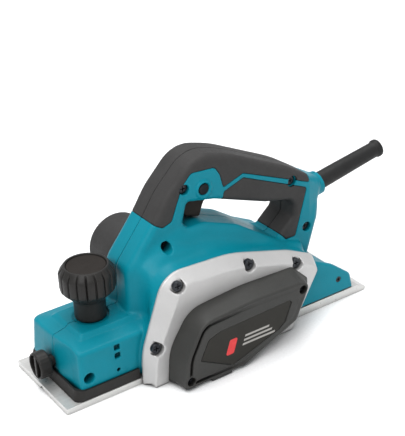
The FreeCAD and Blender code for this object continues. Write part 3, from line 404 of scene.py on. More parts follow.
def surface(name, colour, rough, metallic=0.0, blotch=(60, 0.06), grain=(1400, 0.00006), streak=None,
            wear=(0.35, 0.25), specular=0.5, painted_recess_shade=0.25):
    """A procedural surface.

    colour: its base colour; rough: lowest and highest roughness; blotch: scale and strength of slow colour
    variation; grain: scale and height of the fine texture; streak: stretch along X, Y and Z of machining
    marks; wear: how much lighter edges are, and the share of the edge that shows it; specular: strength of
    the sheen; painted_recess_shade: how dark the painted shade gets in deep holes, creases and gaps.
    """
    material = bpy.data.materials.new(name)
    material.use_nodes = True
    tree = material.node_tree
    tree.nodes.clear()
    place = add(tree, "ShaderNodeTexCoord").outputs["Object"]
    slow = add(tree, "ShaderNodeTexNoise",
               {"Vector": place, "Scale": blotch[0], "Detail": 4.0, "Roughness": 0.55})
    fine = add(tree, "ShaderNodeTexNoise",
               {"Vector": place, "Scale": grain[0], "Detail": 3.0, "Roughness": 0.6})
    dark = tuple(c * (1 - blotch[1]) for c in colour)
    light = tuple(min(1.0, c * (1 + blotch[1])) for c in colour)
    base = ramp(tree, slow.outputs["Fac"], [(0.3, dark), (0.7, light)])
    speck = ramp(tree, fine.outputs["Fac"], [(0.35, grey(0.94)), (0.65, grey(1.0))])
    base = mixed(tree, 1.0, base, speck, "MULTIPLY")
    height = fine.outputs["Fac"]
    if streak:
        stretched = add(tree, "ShaderNodeMapping", {"Vector": place, "Scale": streak})
        marks = add(tree, "ShaderNodeTexNoise", {
            "Vector": stretched.outputs["Vector"], "Scale": 900.0, "Detail": 4.0, "Roughness": 0.7,
        })
        tone = ramp(tree, marks.outputs["Fac"], [(0.3, grey(0.86)), (0.7, grey(1.0))])
        base = mixed(tree, 1.0, base, tone, "MULTIPLY")
        height = add(tree, "ShaderNodeMath", {0: fine.outputs["Fac"], 1: marks.outputs["Fac"]},
                     operation="ADD").outputs["Value"]
    scuff = add(tree, "ShaderNodeTexNoise",
                {"Vector": place, "Scale": 260.0, "Detail": 5.0, "Roughness": 0.7})
    scuffed = ramp(tree, scuff.outputs["Fac"], [(1 - wear[1] - 0.35, grey(0.0)), (1 - wear[1], grey(1.0))])
    edges = edge_mask(tree, 0.0008, 0.02, 0.25)
    worn = add(tree, "ShaderNodeMath", {0: edges, 1: scuffed}, operation="MULTIPLY").outputs["Value"]
    worn = add(tree, "ShaderNodeMath", {0: worn, 1: wear[0]}, operation="MULTIPLY").outputs["Value"]
    pale = tuple(min(1.0, c * 1.5 + 0.04) for c in colour)
    base = mixed(tree, worn, base, pale)
    # painted shade: the base colour is darkened in holes, creases and gaps where ambient occlusion finds
    # little open sky
    open_sky = add(tree, "ShaderNodeAmbientOcclusion", {"Distance": 0.009}, samples=6).outputs["AO"]
    shaded = ramp(tree, open_sky, [(0.16, grey(painted_recess_shade)), (0.62, grey(1.0))])
    base = mixed(tree, 1.0, base, shaded, "MULTIPLY")
    shine = ramp(tree, scuff.outputs["Fac"], [(0.3, grey(rough[0])), (0.7, grey(rough[1]))])
    bump = add(tree, "ShaderNodeBump", {"Strength": 1.0, "Distance": grain[1], "Height": height})
    shader = add(tree, "ShaderNodeBsdfPrincipled", {
        "Base Color": base, "Metallic": metallic, "Roughness": shine, "Normal": bump.outputs["Normal"],
        "Specular IOR Level": specular,
    })
    add(tree, "ShaderNodeOutputMaterial", {"Surface": shader.outputs["BSDF"]})
    return material


# the teal and the button get the darkest painted shade in their holes, creases and gaps
TEAL = surface("moulded_teal", (0.0005, 0.175, 0.232), (0.34, 0.46), blotch=(35, 0.05),
               grain=(1500, 0.00004), specular=0.13, painted_recess_shade=0.08)
GRIP = surface("soft_black_grip", (0.030, 0.029, 0.0285), (0.55, 0.70), blotch=(50, 0.08),
               grain=(2600, 0.00009), specular=0.22)
COVER = surface("moulded_black", (0.028, 0.028, 0.026), (0.42, 0.54), blotch=(50, 0.08),
                grain=(2200, 0.00008), specular=0.25)
BADGE = surface("badge_black", (0.017, 0.016, 0.013), (0.34, 0.44), blotch=(70, 0.08),
                grain=(2400, 0.00004), specular=0.15)
KNOB = surface("knob_black", (0.014, 0.013, 0.012), (0.38, 0.52), blotch=(80, 0.10), grain=(2000, 0.00009),
               specular=0.22)
BUTTON = surface("button_black", (0.006, 0.009, 0.011), (0.42, 0.55), blotch=(90, 0.10),
                 grain=(2000, 0.00005), specular=0.12, painted_recess_shade=0.10)
DISC = surface("knob_disc_brown", (0.014, 0.011, 0.009), (0.46, 0.60), blotch=(80, 0.10),
               grain=(1600, 0.00006), specular=0.12)
GUARD = surface("guard_rubber_black", (0.011, 0.011, 0.011), (0.46, 0.62), blotch=(90, 0.12),
                grain=(1600, 0.0001), specular=0.22)
CAST = surface("cast_silver", (0.46, 0.455, 0.45), (0.36, 0.50), metallic=0.45, blotch=(45, 0.04),
               grain=(2600, 0.00007), wear=(0.9, 0.45))
SOLE = surface("machined_sole", (0.62, 0.615, 0.60), (0.26, 0.42), metallic=0.6, blotch=(40, 0.05),
               grain=(1800, 0.00003), streak=(0.03, 1.0, 1.0))
STEEL = surface("turned_steel", (0.50, 0.50, 0.51), (0.22, 0.36), metallic=0.95, blotch=(60, 0.08),
                grain=(2200, 0.00003), streak=(1.0, 0.05, 1.0))
BLACKENED = surface("blackened_steel", (0.012, 0.014, 0.019), (0.30, 0.44), metallic=0.4,
                    blotch=(120, 0.15), grain=(1800, 0.00006), wear=(0.8, 0.4))
BRASS = surface("plain_brass", (0.55, 0.36, 0.14), (0.25, 0.40), metallic=0.95, blotch=(80, 0.10))
COPPER = surface("wound_copper", (0.55, 0.22, 0.09), (0.35, 0.50), metallic=0.85, blotch=(300, 0.2),
                 grain=(900, 0.0003))
BELT = surface("belt_orange", (0.50, 0.13, 0.025), (0.50, 0.65), blotch=(120, 0.15), grain=(1500, 0.0001))
CARBON = surface("pressed_carbon", (0.02, 0.02, 0.02), (0.5, 0.65), blotch=(200, 0.2))
MARK_RED = surface("mark_red", (0.55, 0.010, 0.012), (0.35, 0.45), blotch=(120, 0.05),
                   grain=(2000, 0.00003))
MARK_GREY = surface("mark_grey", (0.30, 0.29, 0.27), (0.35, 0.45), blotch=(120, 0.05),
                    grain=(2000, 0.00003))


def paint(piece, material):
    piece.data.materials.clear()
    piece.data.materials.append(material)
    return piece


def dress(node, material, bevel=0.25):
    """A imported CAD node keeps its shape, and gets welded points, softened edges and a material."""
    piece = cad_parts[node]
    paint(piece, material)
    weld = piece.modifiers.new("weld", "WELD")
    weld.merge_threshold = 0.00001
    soften = piece.modifiers.new("soften", "BEVEL")
    soften.width = bevel * MM
    soften.segments = 2
    soften.limit_method = "ANGLE"
    soften.angle_limit = math.radians(35)
    soften.harden_normals = False
    return piece


def place(piece, body, slot, *nodes):
    """Rides a new piece on a body, and lets it stand for CAD nodes; the slot argument is not used."""
    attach(piece, body)
    if nodes:
        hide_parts(*nodes)
    return piece


# ---------------------------------------------------------------- housing and grips
def block_field(g):
    """The front block: drafted walls, a low shoulder, and a square table round the knob's neck."""
    rear = -68.0

    def hipped(front, half, top, lean_front, lean_side, r):
        """A block with rounded corners; its walls lean inwards by so much for each millimetre of height."""
        foot = front - (top - g.z) * lean_front
        a = np.abs(g.x - (foot + rear) / 2) - (rear - foot) / 2 + r
        b = np.abs(g.y) - half - (top - g.z) * lean_side + r
        wall = np.minimum(np.maximum(a, b), 0) + np.hypot(np.maximum(a, 0), np.maximum(b, 0)) - r
        return wall / math.hypot(1, max(lean_front, lean_side))

    front_x, wall_top = -134.8, 44.0
    walls = hipped(front_x, 36.5, wall_top, 0.085, 0.031, 10.0)
    shoulder = hipped(-125.2, 23.0, BLOCK_TOP - 3.1, 4.3, 4.3, 6.0)
    table = hipped(KNOB_X - 20.2, 20.2, BLOCK_TOP, 1.1, 1.1, 2.4)
    lower = both(walls, shoulder, 2.5)
    table = both(table, np.abs(g.z - BLOCK_TOP + 3) - 3, 0.2)
    block = np.minimum(lower, table)
    block = np.maximum(block, BODY_BOTTOM - g.z)
    # the near half of the front wall turns back a little, with a soft crease at the turn
    far_x = front_x - (wall_top - g.z) * 0.085
    near_x = -131.2 - (wall_top - g.z) * 0.02
    turn_y, turn_width = 12.5, 36.0
    turned = np.clip((turn_y - g.y) / turn_width, 0, 1)
    block = both(block, far_x + (near_x - far_x) * turned - g.x, 1.5)
    # the far half overhangs the skirt, and leaves room for it to rise
    ledge_x, ledge_z = -134.1, 16.4
    room = np.maximum(g.x - ledge_x, g.z - ledge_z)
    block = cut(block, room, 0.6)
    return cut(block, rod_z(g, KNOB_X, 0, 14.2, BLOCK_TOP - 0.7, 80), 0.6)


def handle_outlines(g):
    """The handle's side outline with the opening taken out, and the opening alone."""
    x, z = g.x[:, :, 0], g.z[0]
    opening = outline(OPENING, x, z)[:, None, :]
    side = outline(HANDLE, x, z)[:, None, :]
    return side, opening


def handle_field(g):
    """The loop of the handle: its back is rounder, and narrows towards the cord guard."""
    side, opening = handle_outlines(g)
    half = HANDLE_HALF - np.clip((g.x - 104) / 22, 0, 1) * np.clip((g.z - 72) / 14, 0, 1) * 7.0
    across = np.abs(g.y) - half
    round_back = 6.0 + np.clip((g.x - 92) / 20, 0, 1) * 2.5
    outer = both(side, across, round_back)
    axis = (GUARD_TIP - GUARD_ROOT).normalized()
    collar = rod_along(g, GUARD_ROOT + axis * COLLAR_START, GUARD_ROOT + axis * COLLAR_END, COLLAR_R)
    outer = join(outer, collar, 2.0)
    return np.maximum(outer, both(-opening, across, 4.5))


def cavity_fields(g):
    """The spaces inside the housing, as in the CAD."""
    x, z = g.x[:, :, 0], g.z[0]
    lower = outline(LOWER_BODY, x, z)[:, None, :]
    inner = BODY_HALF - 3.0
    yield rod_y(g, DRUM_X, DRUM_Z, CHAMBER_R, -60, 60)
    yield box_field(g, (DRUM_X - CHAMBER_R, DRUM_X + CHAMBER_R), (-60, 60), (-20, DRUM_Z), 0)
    yield rod_y(g, LOBE_X, LOBE_Z, LOBE_BORE_R, -20, 60)
    yield rod_y(g, LOBE_X, LOBE_Z, NOZZLE_R + 1.2, LOBE_END_Y, 90)
    yield box_field(g, (-90, LOBE_X + NOZZLE_R + 1.2), (LOBE_END_Y, 90), (LOBE_Z, 160), 0)
    yield box_field(g, (-58, -36), (-20, 24), (50, 66), 0)
    motor = np.maximum(lower + 3.0, np.abs(g.y) - inner)
    motor = np.maximum(motor, np.maximum(5.6 - g.x, g.x - 92))
    yield np.maximum(motor, REAR_BASE_TOP + 3.0 - g.z)
    yield rod_y(g, MOTOR_X, MOTOR_Z, SEAT_R, -60, -30)
    block = box_field(g, (-121, -82), (-32, 32), (0, BLOCK_TOP - 8.5), 1.0)
    sleeve = rod_y(g, GUIDE_X, GUIDE_Z, GUIDE_R + 3.5, -60, 60)
    ledge = rod_z(g, KNOB_X, 0, 17.0, BLOCK_TOP - 13, 60.0)
    yield np.maximum(block, -np.minimum(sleeve, ledge))
    yield rod_z(g, KNOB_X, 0, 8.1, 30, BLOCK_TOP - 0.5)
    bar = outline([(-18, 134), (-12, 150, 3), (-2, 155.5, 4), (50, 138), (98, 112.5), (106, 104), (106, 92),
                   (92, 98), (62, 109), (12, 127.5), (-14, 133)], x, z)[:, None, :]
    yield np.maximum(bar, np.abs(g.y) - 12.5)
    column = outline([(94, 100), (110, 98), (116, 86), (103, 48), (97, 30), (86, 30), (86, 50), (94, 70)],
                     x, z)[:, None, :]
    yield np.maximum(column, np.abs(g.y) - 12.5)


def hole_fields(g):
    """Holes and recesses that open on the housing's surface."""
    for x, z in HANDLE_SCREWS:
        yield rod_y(g, x, z, SCREW_RECESS_R, -90, -12.5)
    for side in (-1, 1):
        y0, y1 = sorted((side * 38.5, side * 60))
        yield rod_y(g, *TAIL_SCREW, 2.6, y0, y1)
    yield rod_y(g, GUIDE_X, GUIDE_Z, GUIDE_R, -90, 90)
    yield rod_x(g, GUIDE_KNOB_Y, GUIDE_Z, 3.1, -170, GUIDE_X)
    yield rod_z(g, KNOB_X, 0, 6.0, BLOCK_TOP - 5, 90)
    for z in (38.6, 31.2):
        yield box_field(g, (-100.9, -96.1), (-90, -33), (z - 2.4, z + 2.4), 0.9)
    yield rod_y(g, -98.8, 18.5, 1.5, -90, -33)
    yield box_field(g, (-20, 13.5), (-9, 9), (109, 136), 1.0)
    yield rod_y(g, *BUTTON_AT, 4.5, -90, -10)
    axis = (GUARD_TIP - GUARD_ROOT).normalized()
    yield rod_along(g, GUARD_ROOT - axis * 2, GUARD_TIP, 7.85)
    for i in range(7):
        x = MOTOR_X - 15 + 5 * i
        yield box_field(g, (x - 1.2, x + 1.2), (37, 90), (MOTOR_Z + 12, MOTOR_Z + 25), 0.8)


def housing_field(g):
    x, z = g.x[:, :, 0], g.z[0]
    across = np.abs(g.y)
    body = slab(outline(LOWER_BODY, x, z)[:, None, :], across - BODY_HALF, 2.5)
    gap = outline(TAIL_GAP, x, z)[:, None, :]
    body = cut(body, both(gap, across - WING_INSIDE, 1.0))
    draft = np.clip(25.0 - 0.17 * (g.z - 60), 17.5, 26.0)
    hump = slab(outline(HUMP, x, z)[:, None, :], (across - draft) * 0.98, 6.0)
    lobe = rod_y(g, LOBE_X, LOBE_Z, LOBE_R, -25, LOBE_END_Y, 3.0)
    handle = handle_field(g)
    lower = join(body, hump, 24.0 - np.clip((g.x + 10) / 50, 0, 1) * 16.0)
    whole = join(lower, lobe, 7.0)
    whole = join(whole, handle, 8.0 - np.clip((g.x - 50) / 30, 0, 1) * 6.0)
    # an upright hollow parts the front column from the shoulder behind it
    hollow = rod_z(g, -74.5, -28.5, 9.5, 46, 104, 7.0)
    whole = cut(whole, hollow, 4.5)
    whole = join(whole, block_field(g), 2.0)
    opening = outline(OPENING, x, z)[:, None, :]
    whole = np.maximum(whole, both(-opening, across - 60, 0))
    ring = rod_y(g, *BUTTON_AT, 7.6, -19.6, -12, 1.2)
    whole = join(whole, ring, 0.8)
    # the button sits in a shallow cone inside its ring
    away = np.hypot(g.x - BUTTON_AT[0], g.z - BUTTON_AT[1])
    whole = np.maximum(whole, -np.maximum(away - 4.5 + (g.y + 17.8) * 0.8, g.y + 17.4))
    for cavity in cavity_fields(g):
        whole = np.maximum(whole, -cavity)
    for hole in hole_fields(g):
        whole = cut(whole, hole, 0.8)
    return whole, handle, lower


def grip_fields(g, handle, lower):
    """The overmould above and below the teal stripe."""
    x, z = g.x[:, :, 0], g.z[0]
    skin = np.maximum(handle, -(handle + GRIP_SKIN))
    recesses = np.minimum.reduce(
        [rod_y(g, sx, sz, SCREW_RECESS_R + 0.8, -90, -10) for sx, sz in HANDLE_SCREWS])
    for zone in (UPPER_GRIP_ZONE, LOWER_GRIP_ZONE):
        area = outline(zone, x, z)[:, None, :]
        cover = np.maximum(both(skin, area + 0.25, 0.7), -recesses)
        yield np.maximum(cover, 0.2 - lower), np.maximum(area, -lower)


def build_housing():
    g = Grid((-137, -43, 5), (139, 43, 171), STEP)
    whole, handle, lower = housing_field(g)
    skins = list(grip_fields(g, handle, lower))
    for skin, area in skins:
        whole = np.maximum(whole, -np.maximum(area, -(handle + GRIP_SKIN + 0.1)))
    for side, sign in (("left", 1), ("right", -1)):
        half = both(whole, sign * g.y + 0.12, 0.5)
        shell = solidify_field(f"housing_{side}_shell", half, g)
        place(paint(shell, TEAL), "planer", "teal_plastic", f"housing_{side}")
        for label, (skin, _) in zip(("upper", "lower"), skins):
            part = both(skin, sign * g.y + 0.15, 0.7)
            piece = solidify_field(f"grip_{label}_{side}_skin", part, g, 50)
            place(paint(piece, GRIP), "planer", "soft_grip", f"grip_{label}_{side}")


# ---------------------------------------------------------------- side casting and belt cover
def build_frame_casting():
    g = Grid((-84, -55, -1), (95, 43, 92), FINE * 1.25)
    x, z = g.x[:, :, 0], g.z[0]
    back = outline(FRAME_BACK, x, z)[:, None, :]
    face = outline(FRAME_FACE, x, z)[:, None, :]
    depth = np.clip((FRAME_SHOULDER_Y - g.y) / (FRAME_SHOULDER_Y - FRAME_FACE_Y), 0, 1)
    side = (back * (1 - depth) + face * depth) * 0.87
    casting = both(side, FRAME_FACE_Y - g.y, 0.8)
    casting = np.maximum(casting, g.y + BODY_HALF)
    casting = np.maximum(casting, 0.5 - g.z)
    pocket = outline(COVER_BACK, x, z)[:, None, :] + 3.5
    casting = np.maximum(casting, -np.maximum(pocket, g.y + 46.5))
    for bx, bz in ((DRUM_X, DRUM_Z), (MOTOR_X, MOTOR_Z)):
        casting = np.minimum(casting, rod_y(g, bx, bz, 15.0, -50.0, -41.0))
    hood = rod_y(g, DRUM_X, DRUM_Z, HOOD_R, -42, BODY_HALF)
    hood = np.maximum(hood, -rod_y(g, DRUM_X, DRUM_Z, HOOD_R - HOOD_WALL, -60, 60))
    hood = np.maximum(hood, DRUM_Z + 3 - g.z)
    chip_slot = box_field(g, (DRUM_X - 24, DRUM_X - 2), (-36, 36), (DRUM_Z + 12, DRUM_Z + 60), 0)
    hood = np.maximum(hood, -chip_slot)
    leg = box_field(g, (-1.0, 1.8), (-42, BODY_HALF), (REAR_BASE_TOP, DRUM_Z + 4), 0)
    foot = box_field(g, (-4.5, 1.8), (-42, BODY_HALF), (REAR_BASE_TOP, 12.0), 0)
    casting = np.minimum.reduce([casting, hood, leg, foot])
    casting = np.maximum(casting, -box_field(g, (-200, DRUM_X - 8), (-41.4, -40), (-5, 15), 0))
    for sx, sz in FRAME_SCREWS:
        casting = cut(casting, rod_y(g, sx, sz, 5.6, -90, -47.0), 1.0)
    for bx, bz in ((DRUM_X, DRUM_Z), (MOTOR_X, MOTOR_Z)):
        casting = np.maximum(casting, -rod_y(g, bx, bz, SEAT_R, -48.0, -40.0))
        casting = np.maximum(casting, -rod_y(g, bx, bz, 8.0, -90.0, -47.0))
    piece = solidify_field("frame_casting_shell", casting, g, 32)
    place(paint(piece, CAST), "planer", "cast_aluminium", "frame_casting")


def build_belt_cover():
    g = Grid((-67, -75, -1), (76, -51, 66), FINE)
    x, z = g.x[:, :, 0], g.z[0]
    back = outline(COVER_BACK, x, z)[:, None, :]
    face = outline(COVER_FACE, x, z)[:, None, :]
    depth = np.clip((FRAME_FACE_Y - g.y) / (FRAME_FACE_Y - COVER_FACE_Y), 0, 1)
    side = (back * (1 - depth) + face * depth) * 0.95
    shell = both(side, COVER_FACE_Y - g.y, 1.8)
    shell = np.maximum(shell, g.y - FRAME_FACE_Y)
    # a groove sets the raised middle off from the sloping skirt, deepest at the front
    rim = face + 3.4
    groove_depth = np.clip((10 - g.x) / 50, 0, 1) * 2.4
    groove = np.maximum(np.abs(rim) - 1.3, g.y - (COVER_FACE_Y + groove_depth))
    shell = cut(shell, groove, 0.8)
    lip = box_field(g, (-37, -18), (COVER_FACE_Y + 0.3, COVER_FACE_Y + 2.8), (0.6, 4.0), 0.6)
    shell = join(shell, lip, 0.8)
    hollow = np.maximum(outline(COVER_CAVITY, x, z)[:, None, :], COVER_FACE_Y + 2.8 - g.y)
    shell = np.maximum(shell, -hollow)
    window = box_field(g, (-50, -9), (COVER_FACE_Y + 2.8, -40), (-5, 8), 0)
    shell = np.maximum(shell, -window)
    panel = outline(LABEL_PANEL, x, z)[:, None, :]
    shell = cut(shell, np.maximum(panel, g.y - (COVER_FACE_Y + 1.2)), 0.5)
    for sx, sz in COVER_SCREWS:
        shell = join(shell, rod_y(g, sx, sz, 4.9, COVER_FACE_Y + 0.6, FRAME_FACE_Y, 0.8), 1.0)
        shell = cut(shell, rod_y(g, sx, sz, 3.7, -90, -66.0), 0.4)
    piece = solidify_field("belt_cover_shell", shell, g, 40)
    place(paint(piece, COVER), "planer", "black_plastic", "belt_cover")


def flat_shape(name, corners, y0, y1, material):
    """A thin flat shape on the side of the machine, with a rounded outline."""
    ring = rounded_outline(corners)
    count = len(ring)
    near = np.column_stack((ring[:, 0], np.full(count, y0), ring[:, 1]))
    far = np.column_stack((ring[:, 0], np.full(count, y1), ring[:, 1]))
    mesh = bpy.data.meshes.new(name)
    faces = [list(range(count)), list(range(2 * count - 1, count - 1, -1))]
    faces += [(i + count, (i + 1) % count + count, (i + 1) % count, i) for i in range(count)]
    mesh.from_pydata([tuple(p) for p in np.vstack((near, far)) * MM], [], faces)
    mesh.update()
    piece = bpy.data.objects.new(name, mesh)
    bpy.context.scene.collection.objects.link(piece)
    shade(piece, 30)
    return paint(piece, material)


def build_badge():
    """The sunk label panel carries a plain mark: a red lozenge and three grey bars."""
    def inset(corners, amount):
        points = np.array([c[:2] for c in corners])
        middle = points.mean(axis=0)
        return [tuple(p + (middle - p) / np.linalg.norm(middle - p) * amount) + tuple(c[2:])
                for p, c in zip(points, corners)]

    floor = flat_shape("badge_plate_face", inset(LABEL_PANEL, 0.8), COVER_FACE_Y + 0.55, COVER_FACE_Y + 1.2,
                       BADGE)
    place(floor, "planer", "black_plastic", "badge_plate")
    face = COVER_FACE_Y + 0.5
    corners = [(-23.5, 18.0, 1.5), (-19, 31, 1.5), (-11.5, 31.2, 1.5), (-16, 18.2, 1.5)]
    lozenge = flat_shape("badge_mark", corners, face, face + 0.1, MARK_RED)
    place(lozenge, "planer", "black_plastic")
    for i in range(3):
        z = 21.5 + 3.6 * i
        lean = 0.36 * (z - 20)
        end = 24 + lean - 4 * i
        corners = [(-8 + lean, z), (-7.4 + lean, z + 1.7), (end, z + 1.7), (end - 0.6, z)]
        bar = flat_shape(f"badge_bar_{i}", corners, face, face + 0.1, MARK_GREY)
        place(bar, "planer", "black_plastic")


# ---------------------------------------------------------------- knobs, trigger, guard, nozzle
def turned_shape(name, profile, segments, shape=None):
    """A closed turned mesh about Z from (radius, z) points; shape(radius, z, angle) may change the radius."""
    angles = np.linspace(0, 2 * math.pi, segments, endpoint=False)
    rings = []
    for r, z in profile:
        radius = np.full(segments, r) if shape is None else shape(r, z, angles)
        ring_x, ring_y = radius * np.cos(angles), radius * np.sin(angles)
        rings.append(np.column_stack((ring_x, ring_y, np.full(segments, z))))
    points = np.vstack(rings)
    around = np.arange(segments)
    ahead = (around + 1) % segments
    faces = []
    for k in range(len(profile)):
        a = k * segments
        b = (k + 1) % len(profile) * segments
        faces.append(np.column_stack((a + around, a + ahead, b + ahead, b + around)))
    return shade(mesh_object(name, points, np.vstack(faces)), 32)


def moved(piece, offset):
    piece.data.transform(Matrix.Translation(Vector(offset) * MM))
    return piece


def build_depth_knob():
    """Wide lobes parted by narrow grooves that run up into the top bevel."""
    lobes = 18
    depth = 1.5

    def lobed(radius, z, angles):
        phase = (angles * lobes / (2 * math.pi)) % 1.0
        near = np.minimum(phase, 1 - phase) * (2 * math.pi / lobes) * 21.0
        groove = np.exp(-((near / 0.6) ** 2)) * depth
        crown = np.cos((phase - 0.5) * math.pi) * 0.2
        part = np.clip((z - 71.0) / 3.5, 0, 1) * np.clip((95.2 - z) / 3.0, 0, 1)
        outside = 1.0 if radius > 16.6 else 0.0
        return radius + (crown - 0.2 - groove) * part * outside

    profile = [(5.05, 50.5), (12.1, 50.5), (12.55, 51.0), (12.55, 66.0), (13.0, 67.0), (15.4, 68.9),
               (18.0, 71.6), (20.6, 74.3), (21.5, 75.4), (21.9, 77.0), (21.9, 83.0), (21.9, 88.8),
               (21.4, 90.3), (20.3, 91.9), (18.7, 94.1), (17.9, 95.1), (17.2, 95.5), (16.4, 95.45),
               (15.9, 95.0), (15.7, 94.0), (15.6, 92.0), (5.05, 92.0)]
    knob = turned_shape("depth_knob_body", profile, 384, lobed)
    place(paint(moved(knob, (KNOB_X, 0, 0)), KNOB), "depth_adjuster", "black_plastic", "depth_knob")
    disc_profile = [(0.05, 92.0), (15.3, 92.0), (15.5, 92.2), (15.5, 94.3), (15.1, 94.6), (14.0, 94.5),
                    (0.05, 94.4)]
    disc = turned_shape("depth_knob_disc", disc_profile, 96)
    place(paint(moved(disc, (KNOB_X, 0, 0)), DISC), "depth_adjuster", "black_plastic", "depth_knob_cap")


def build_guide_clamp():
    """The front clamp knob: a thick, faintly fluted rim, a narrow neck, a dished face and a finger rib."""
    g = Grid((-151, -10, 9), (-131.5, 15, 34), FINE * 0.8)
    across, up = g.y - GUIDE_KNOB_Y, g.z - GUIDE_Z
    radius = np.hypot(across, up)
    angle = np.arctan2(up, across)
    rim = radius + 0.06 * (1 + np.cos(angle * 24)) - 10.95
    head = both(rim, np.abs(g.x + 144.8) - 5.1, 1.5)
    neck = both(radius - 5.0, np.abs(g.x + 138.4) - 4.5, 0.4)
    dish = np.maximum(radius - 9.2, g.x + 146.0)
    knob = cut(join(head, neck, 0.8), dish, 0.8)
    rib = both(np.maximum(np.abs(across) - 1.5, radius - 8.8), np.abs(g.x + 147.2) - 2.4, 0.5)
    knob = join(knob, rib, 0.8)
    knob = np.maximum(knob, -(both(radius - 3.05, -146.0 - g.x, 0)))
    piece = solidify_field("guide_clamp_knob_body", knob, g, 40)
    place(paint(piece, KNOB), "guide_clamp", "black_plastic", "guide_clamp_knob")


def build_trigger():
    g = Grid((-21, -9.5, 104), (14, 9.5, 136), FINE * 0.8)
    corners = [(-19.4, 133.4, 2), (-19.4, 125), (-13.5, 111, 1.5), (-8, 109.3, 6), (0.5, 106.3, 1.5),
               (4.5, 117, 6), (11.5, 125, 1), (11.5, 133.4, 1)]
    side = outline(corners, g.x[:, :, 0], g.z[0])[:, None, :]
    body = both(side, np.abs(g.y) - 8.2, 1.4)
    body = np.maximum(body, -rod_y(g, *TRIGGER_PIVOT, 2.06, -20, 20))
    piece = solidify_field("trigger_body", body, g, 45)
    place(paint(piece, DISC), "switch_trigger", "black_plastic", "trigger")


def build_cord_guard():
    """A tapered rubber sleeve with a rolled end."""
    length = (GUARD_TIP - GUARD_ROOT).length
    profile = [(3.6, 0.0), (7.7, 0.0), (7.75, 0.4), (7.6, 20.0), (7.25, 50.0), (6.95, length - 6.0),
               (7.2, length - 4.8), (7.8, length - 4.0), (7.98, length - 3.2), (7.98, length - 1.0),
               (7.6, length - 0.2), (6.9, length), (4.2, length), (3.7, length - 0.6), (3.6, length - 2)]
    guard = turned_shape("cord_guard_sleeve", profile, 96)
    axis = (GUARD_TIP - GUARD_ROOT).normalized()
    turn = Vector((0, 0, 1)).rotation_difference(axis).to_matrix().to_4x4()
    guard.data.transform(Matrix.Translation(GUARD_ROOT * MM) @ turn)
    place(paint(guard, GUARD), "planer", "guard_rubber", "cord_guard")


def build_chip_nozzle():
    """A short tube with a stepped bore, a spigot and a soft outer end."""
    def on_y(piece):
        lay = Matrix.Rotation(-math.pi / 2, 4, "X")
        piece.data.transform(Matrix.Translation(Vector((LOBE_X, 0, LOBE_Z)) * MM) @ lay)
        return piece

    g = Grid((-29, -29, 15), (29, 29, 63), STEP * 0.9)
    radius = np.hypot(g.x, g.y)
    tube = both(radius - NOZZLE_R, np.abs(g.z - 45.2) - 16.8, 1.6)
    tube = np.minimum(tube, both(radius - 22.94, np.abs(g.z - 22.3) - 6.3, 0.5))
    bore = np.where(g.z < NOZZLE_STOP_Y, NECK_BORE_R, MOUTH_BORE_R)
    bore = np.where(g.z < NOZZLE_SHOULDER_Y, SPIGOT_BORE_R, bore)
    tube = np.maximum(tube, -(radius - bore))
    # the drum and its hood pass under the root of the tube
    away = np.hypot(g.x + LOBE_X - DRUM_X, LOBE_Z - DRUM_Z - g.y)
    drum = np.maximum(away - HOOD_R - 0.6, g.z - BODY_HALF - 0.8)
    tube = np.maximum(tube, -drum)
    piece = on_y(solidify_field("chip_nozzle_tube", tube, g, 40))
    place(paint(piece, GRIP), "planer", "black_plastic", "chip_nozzle")


def build_small_parts():
    """CAD nodes that keep their shape."""
    finishes = {
        COVER: ("switch_body", "cord_clamp", "fan_baffle", "cooling_fan"),
        KNOB: ("front_base_skirt",),
        BUTTON: ("lock_off_button",),
        SOLE: ("front_base", "rear_base"),
        CAST: ("bearing_plate", "drum_pulley", "motor_pulley"),
        BLACKENED: ("frame_screws", "belt_cover_screws", "housing_screws", "tail_screws", "rear_base_screws",
                    "bearing_plate_screws", "cord_clamp_screws", "blade_bolts", "guide_clamp_screw"),
        STEEL: ("cutter_drum", "planer_blades", "blade_clamps", "drum_bearings", "motor_bearings",
                "depth_screw", "trigger_pin", "motor_shaft", "drum_pulley_nut", "motor_pulley_nut",
                "stator_core",
                "armature_core", "base_spring"),
        BRASS: ("depth_screw_bush", "brush_holders", "commutator"),
        COPPER: ("armature_windings", "field_coils"),
        CARBON: ("carbon_brushes",),
        BELT: ("drive_belt",),
    }
    for material, nodes in finishes.items():
        for node in nodes:
            dress(node, material, 0.15 if node in ("base_spring", "drive_belt") else 0.3)


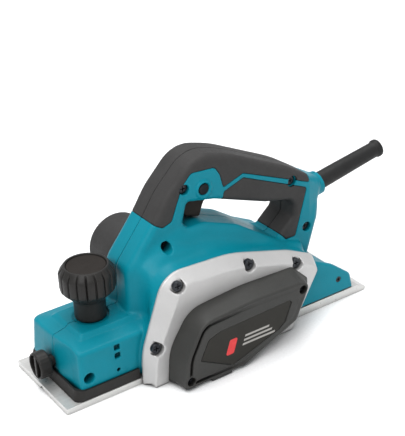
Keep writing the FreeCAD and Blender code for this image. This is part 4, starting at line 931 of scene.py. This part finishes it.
# ---------------------------------------------------------------- floor, light and camera
def build_stage():
    floor = mesh_object("floor", [(-6000, -6000, 0), (6000, -6000, 0), (6000, 6000, 0), (-6000, 6000, 0)],
                        [(0, 1, 2, 3)])
    paint(floor, surface("pale_floor", (0.90, 0.90, 0.90), (0.55, 0.65), blotch=(3, 0.01),
                         grain=(500, 0.00001)))
    floor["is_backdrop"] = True
    world = bpy.data.worlds.new("studio")
    world.use_nodes = True
    world.node_tree.nodes["Background"].inputs["Color"].default_value = (0.97, 0.98, 1.0, 1.0)
    world.node_tree.nodes["Background"].inputs["Strength"].default_value = 0.75
    bpy.context.scene.world = world
    lights = [
        ("key", (-0.9, -0.7, 1.3), 0.9, 16.0),
        ("top", (0.1, 0.3, 1.5), 1.2, 19.0),
        ("fill", (0.9, -1.1, 0.7), 0.9, 2.0),
    ]
    target = Vector((0.0, 0.0, 0.07))
    for name, spot, size, power in lights:
        lamp = bpy.data.lights.new(name, "AREA")
        lamp.shape = "DISK"
        lamp.size = size
        lamp.energy = power
        holder = bpy.data.objects.new(name, lamp)
        holder.location = spot
        holder.rotation_euler = (target - Vector(spot)).to_track_quat("-Z", "Y").to_euler()
        bpy.context.scene.collection.objects.link(holder)


def build_camera():
    """Seen from the front left, a little above, with a small roll."""
    azimuth, elevation, roll = (math.radians(a) for a in (-33.33, 27.39, -2.67))
    distance = 0.9272
    target = Vector((0.00843, 0.0, 0.09904))
    back = Vector((math.sin(azimuth) * math.cos(elevation), -math.cos(azimuth) * math.cos(elevation),
                   math.sin(elevation)))
    right = (-back).cross(Vector((0, 0, 1))).normalized()
    up = right.cross(-back)
    across = right * math.cos(roll) + up * math.sin(roll)
    above = up * math.cos(roll) - right * math.sin(roll)
    camera = bpy.data.objects.new("camera", bpy.data.cameras.new("camera"))
    camera.data.lens = 95.48
    camera.data.sensor_width = 36.0
    camera.data.sensor_fit = "AUTO"
    camera.data.clip_end = 50.0
    turn = Matrix((across, above, back)).transposed().to_4x4()
    camera.matrix_world = Matrix.Translation(target + back * distance) @ turn
    bpy.context.scene.collection.objects.link(camera)
    bpy.context.scene.camera = camera
    bpy.context.scene.view_settings.view_transform = "Standard"


build_camera()
build_stage()
build_housing()
build_frame_casting()
build_belt_cover()
build_badge()
build_depth_knob()
build_guide_clamp()
build_trigger()
build_cord_guard()
build_chip_nozzle()
build_small_parts()

boxes = [[list(corner) for corner in box] for box in (CAD_BOX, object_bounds())]
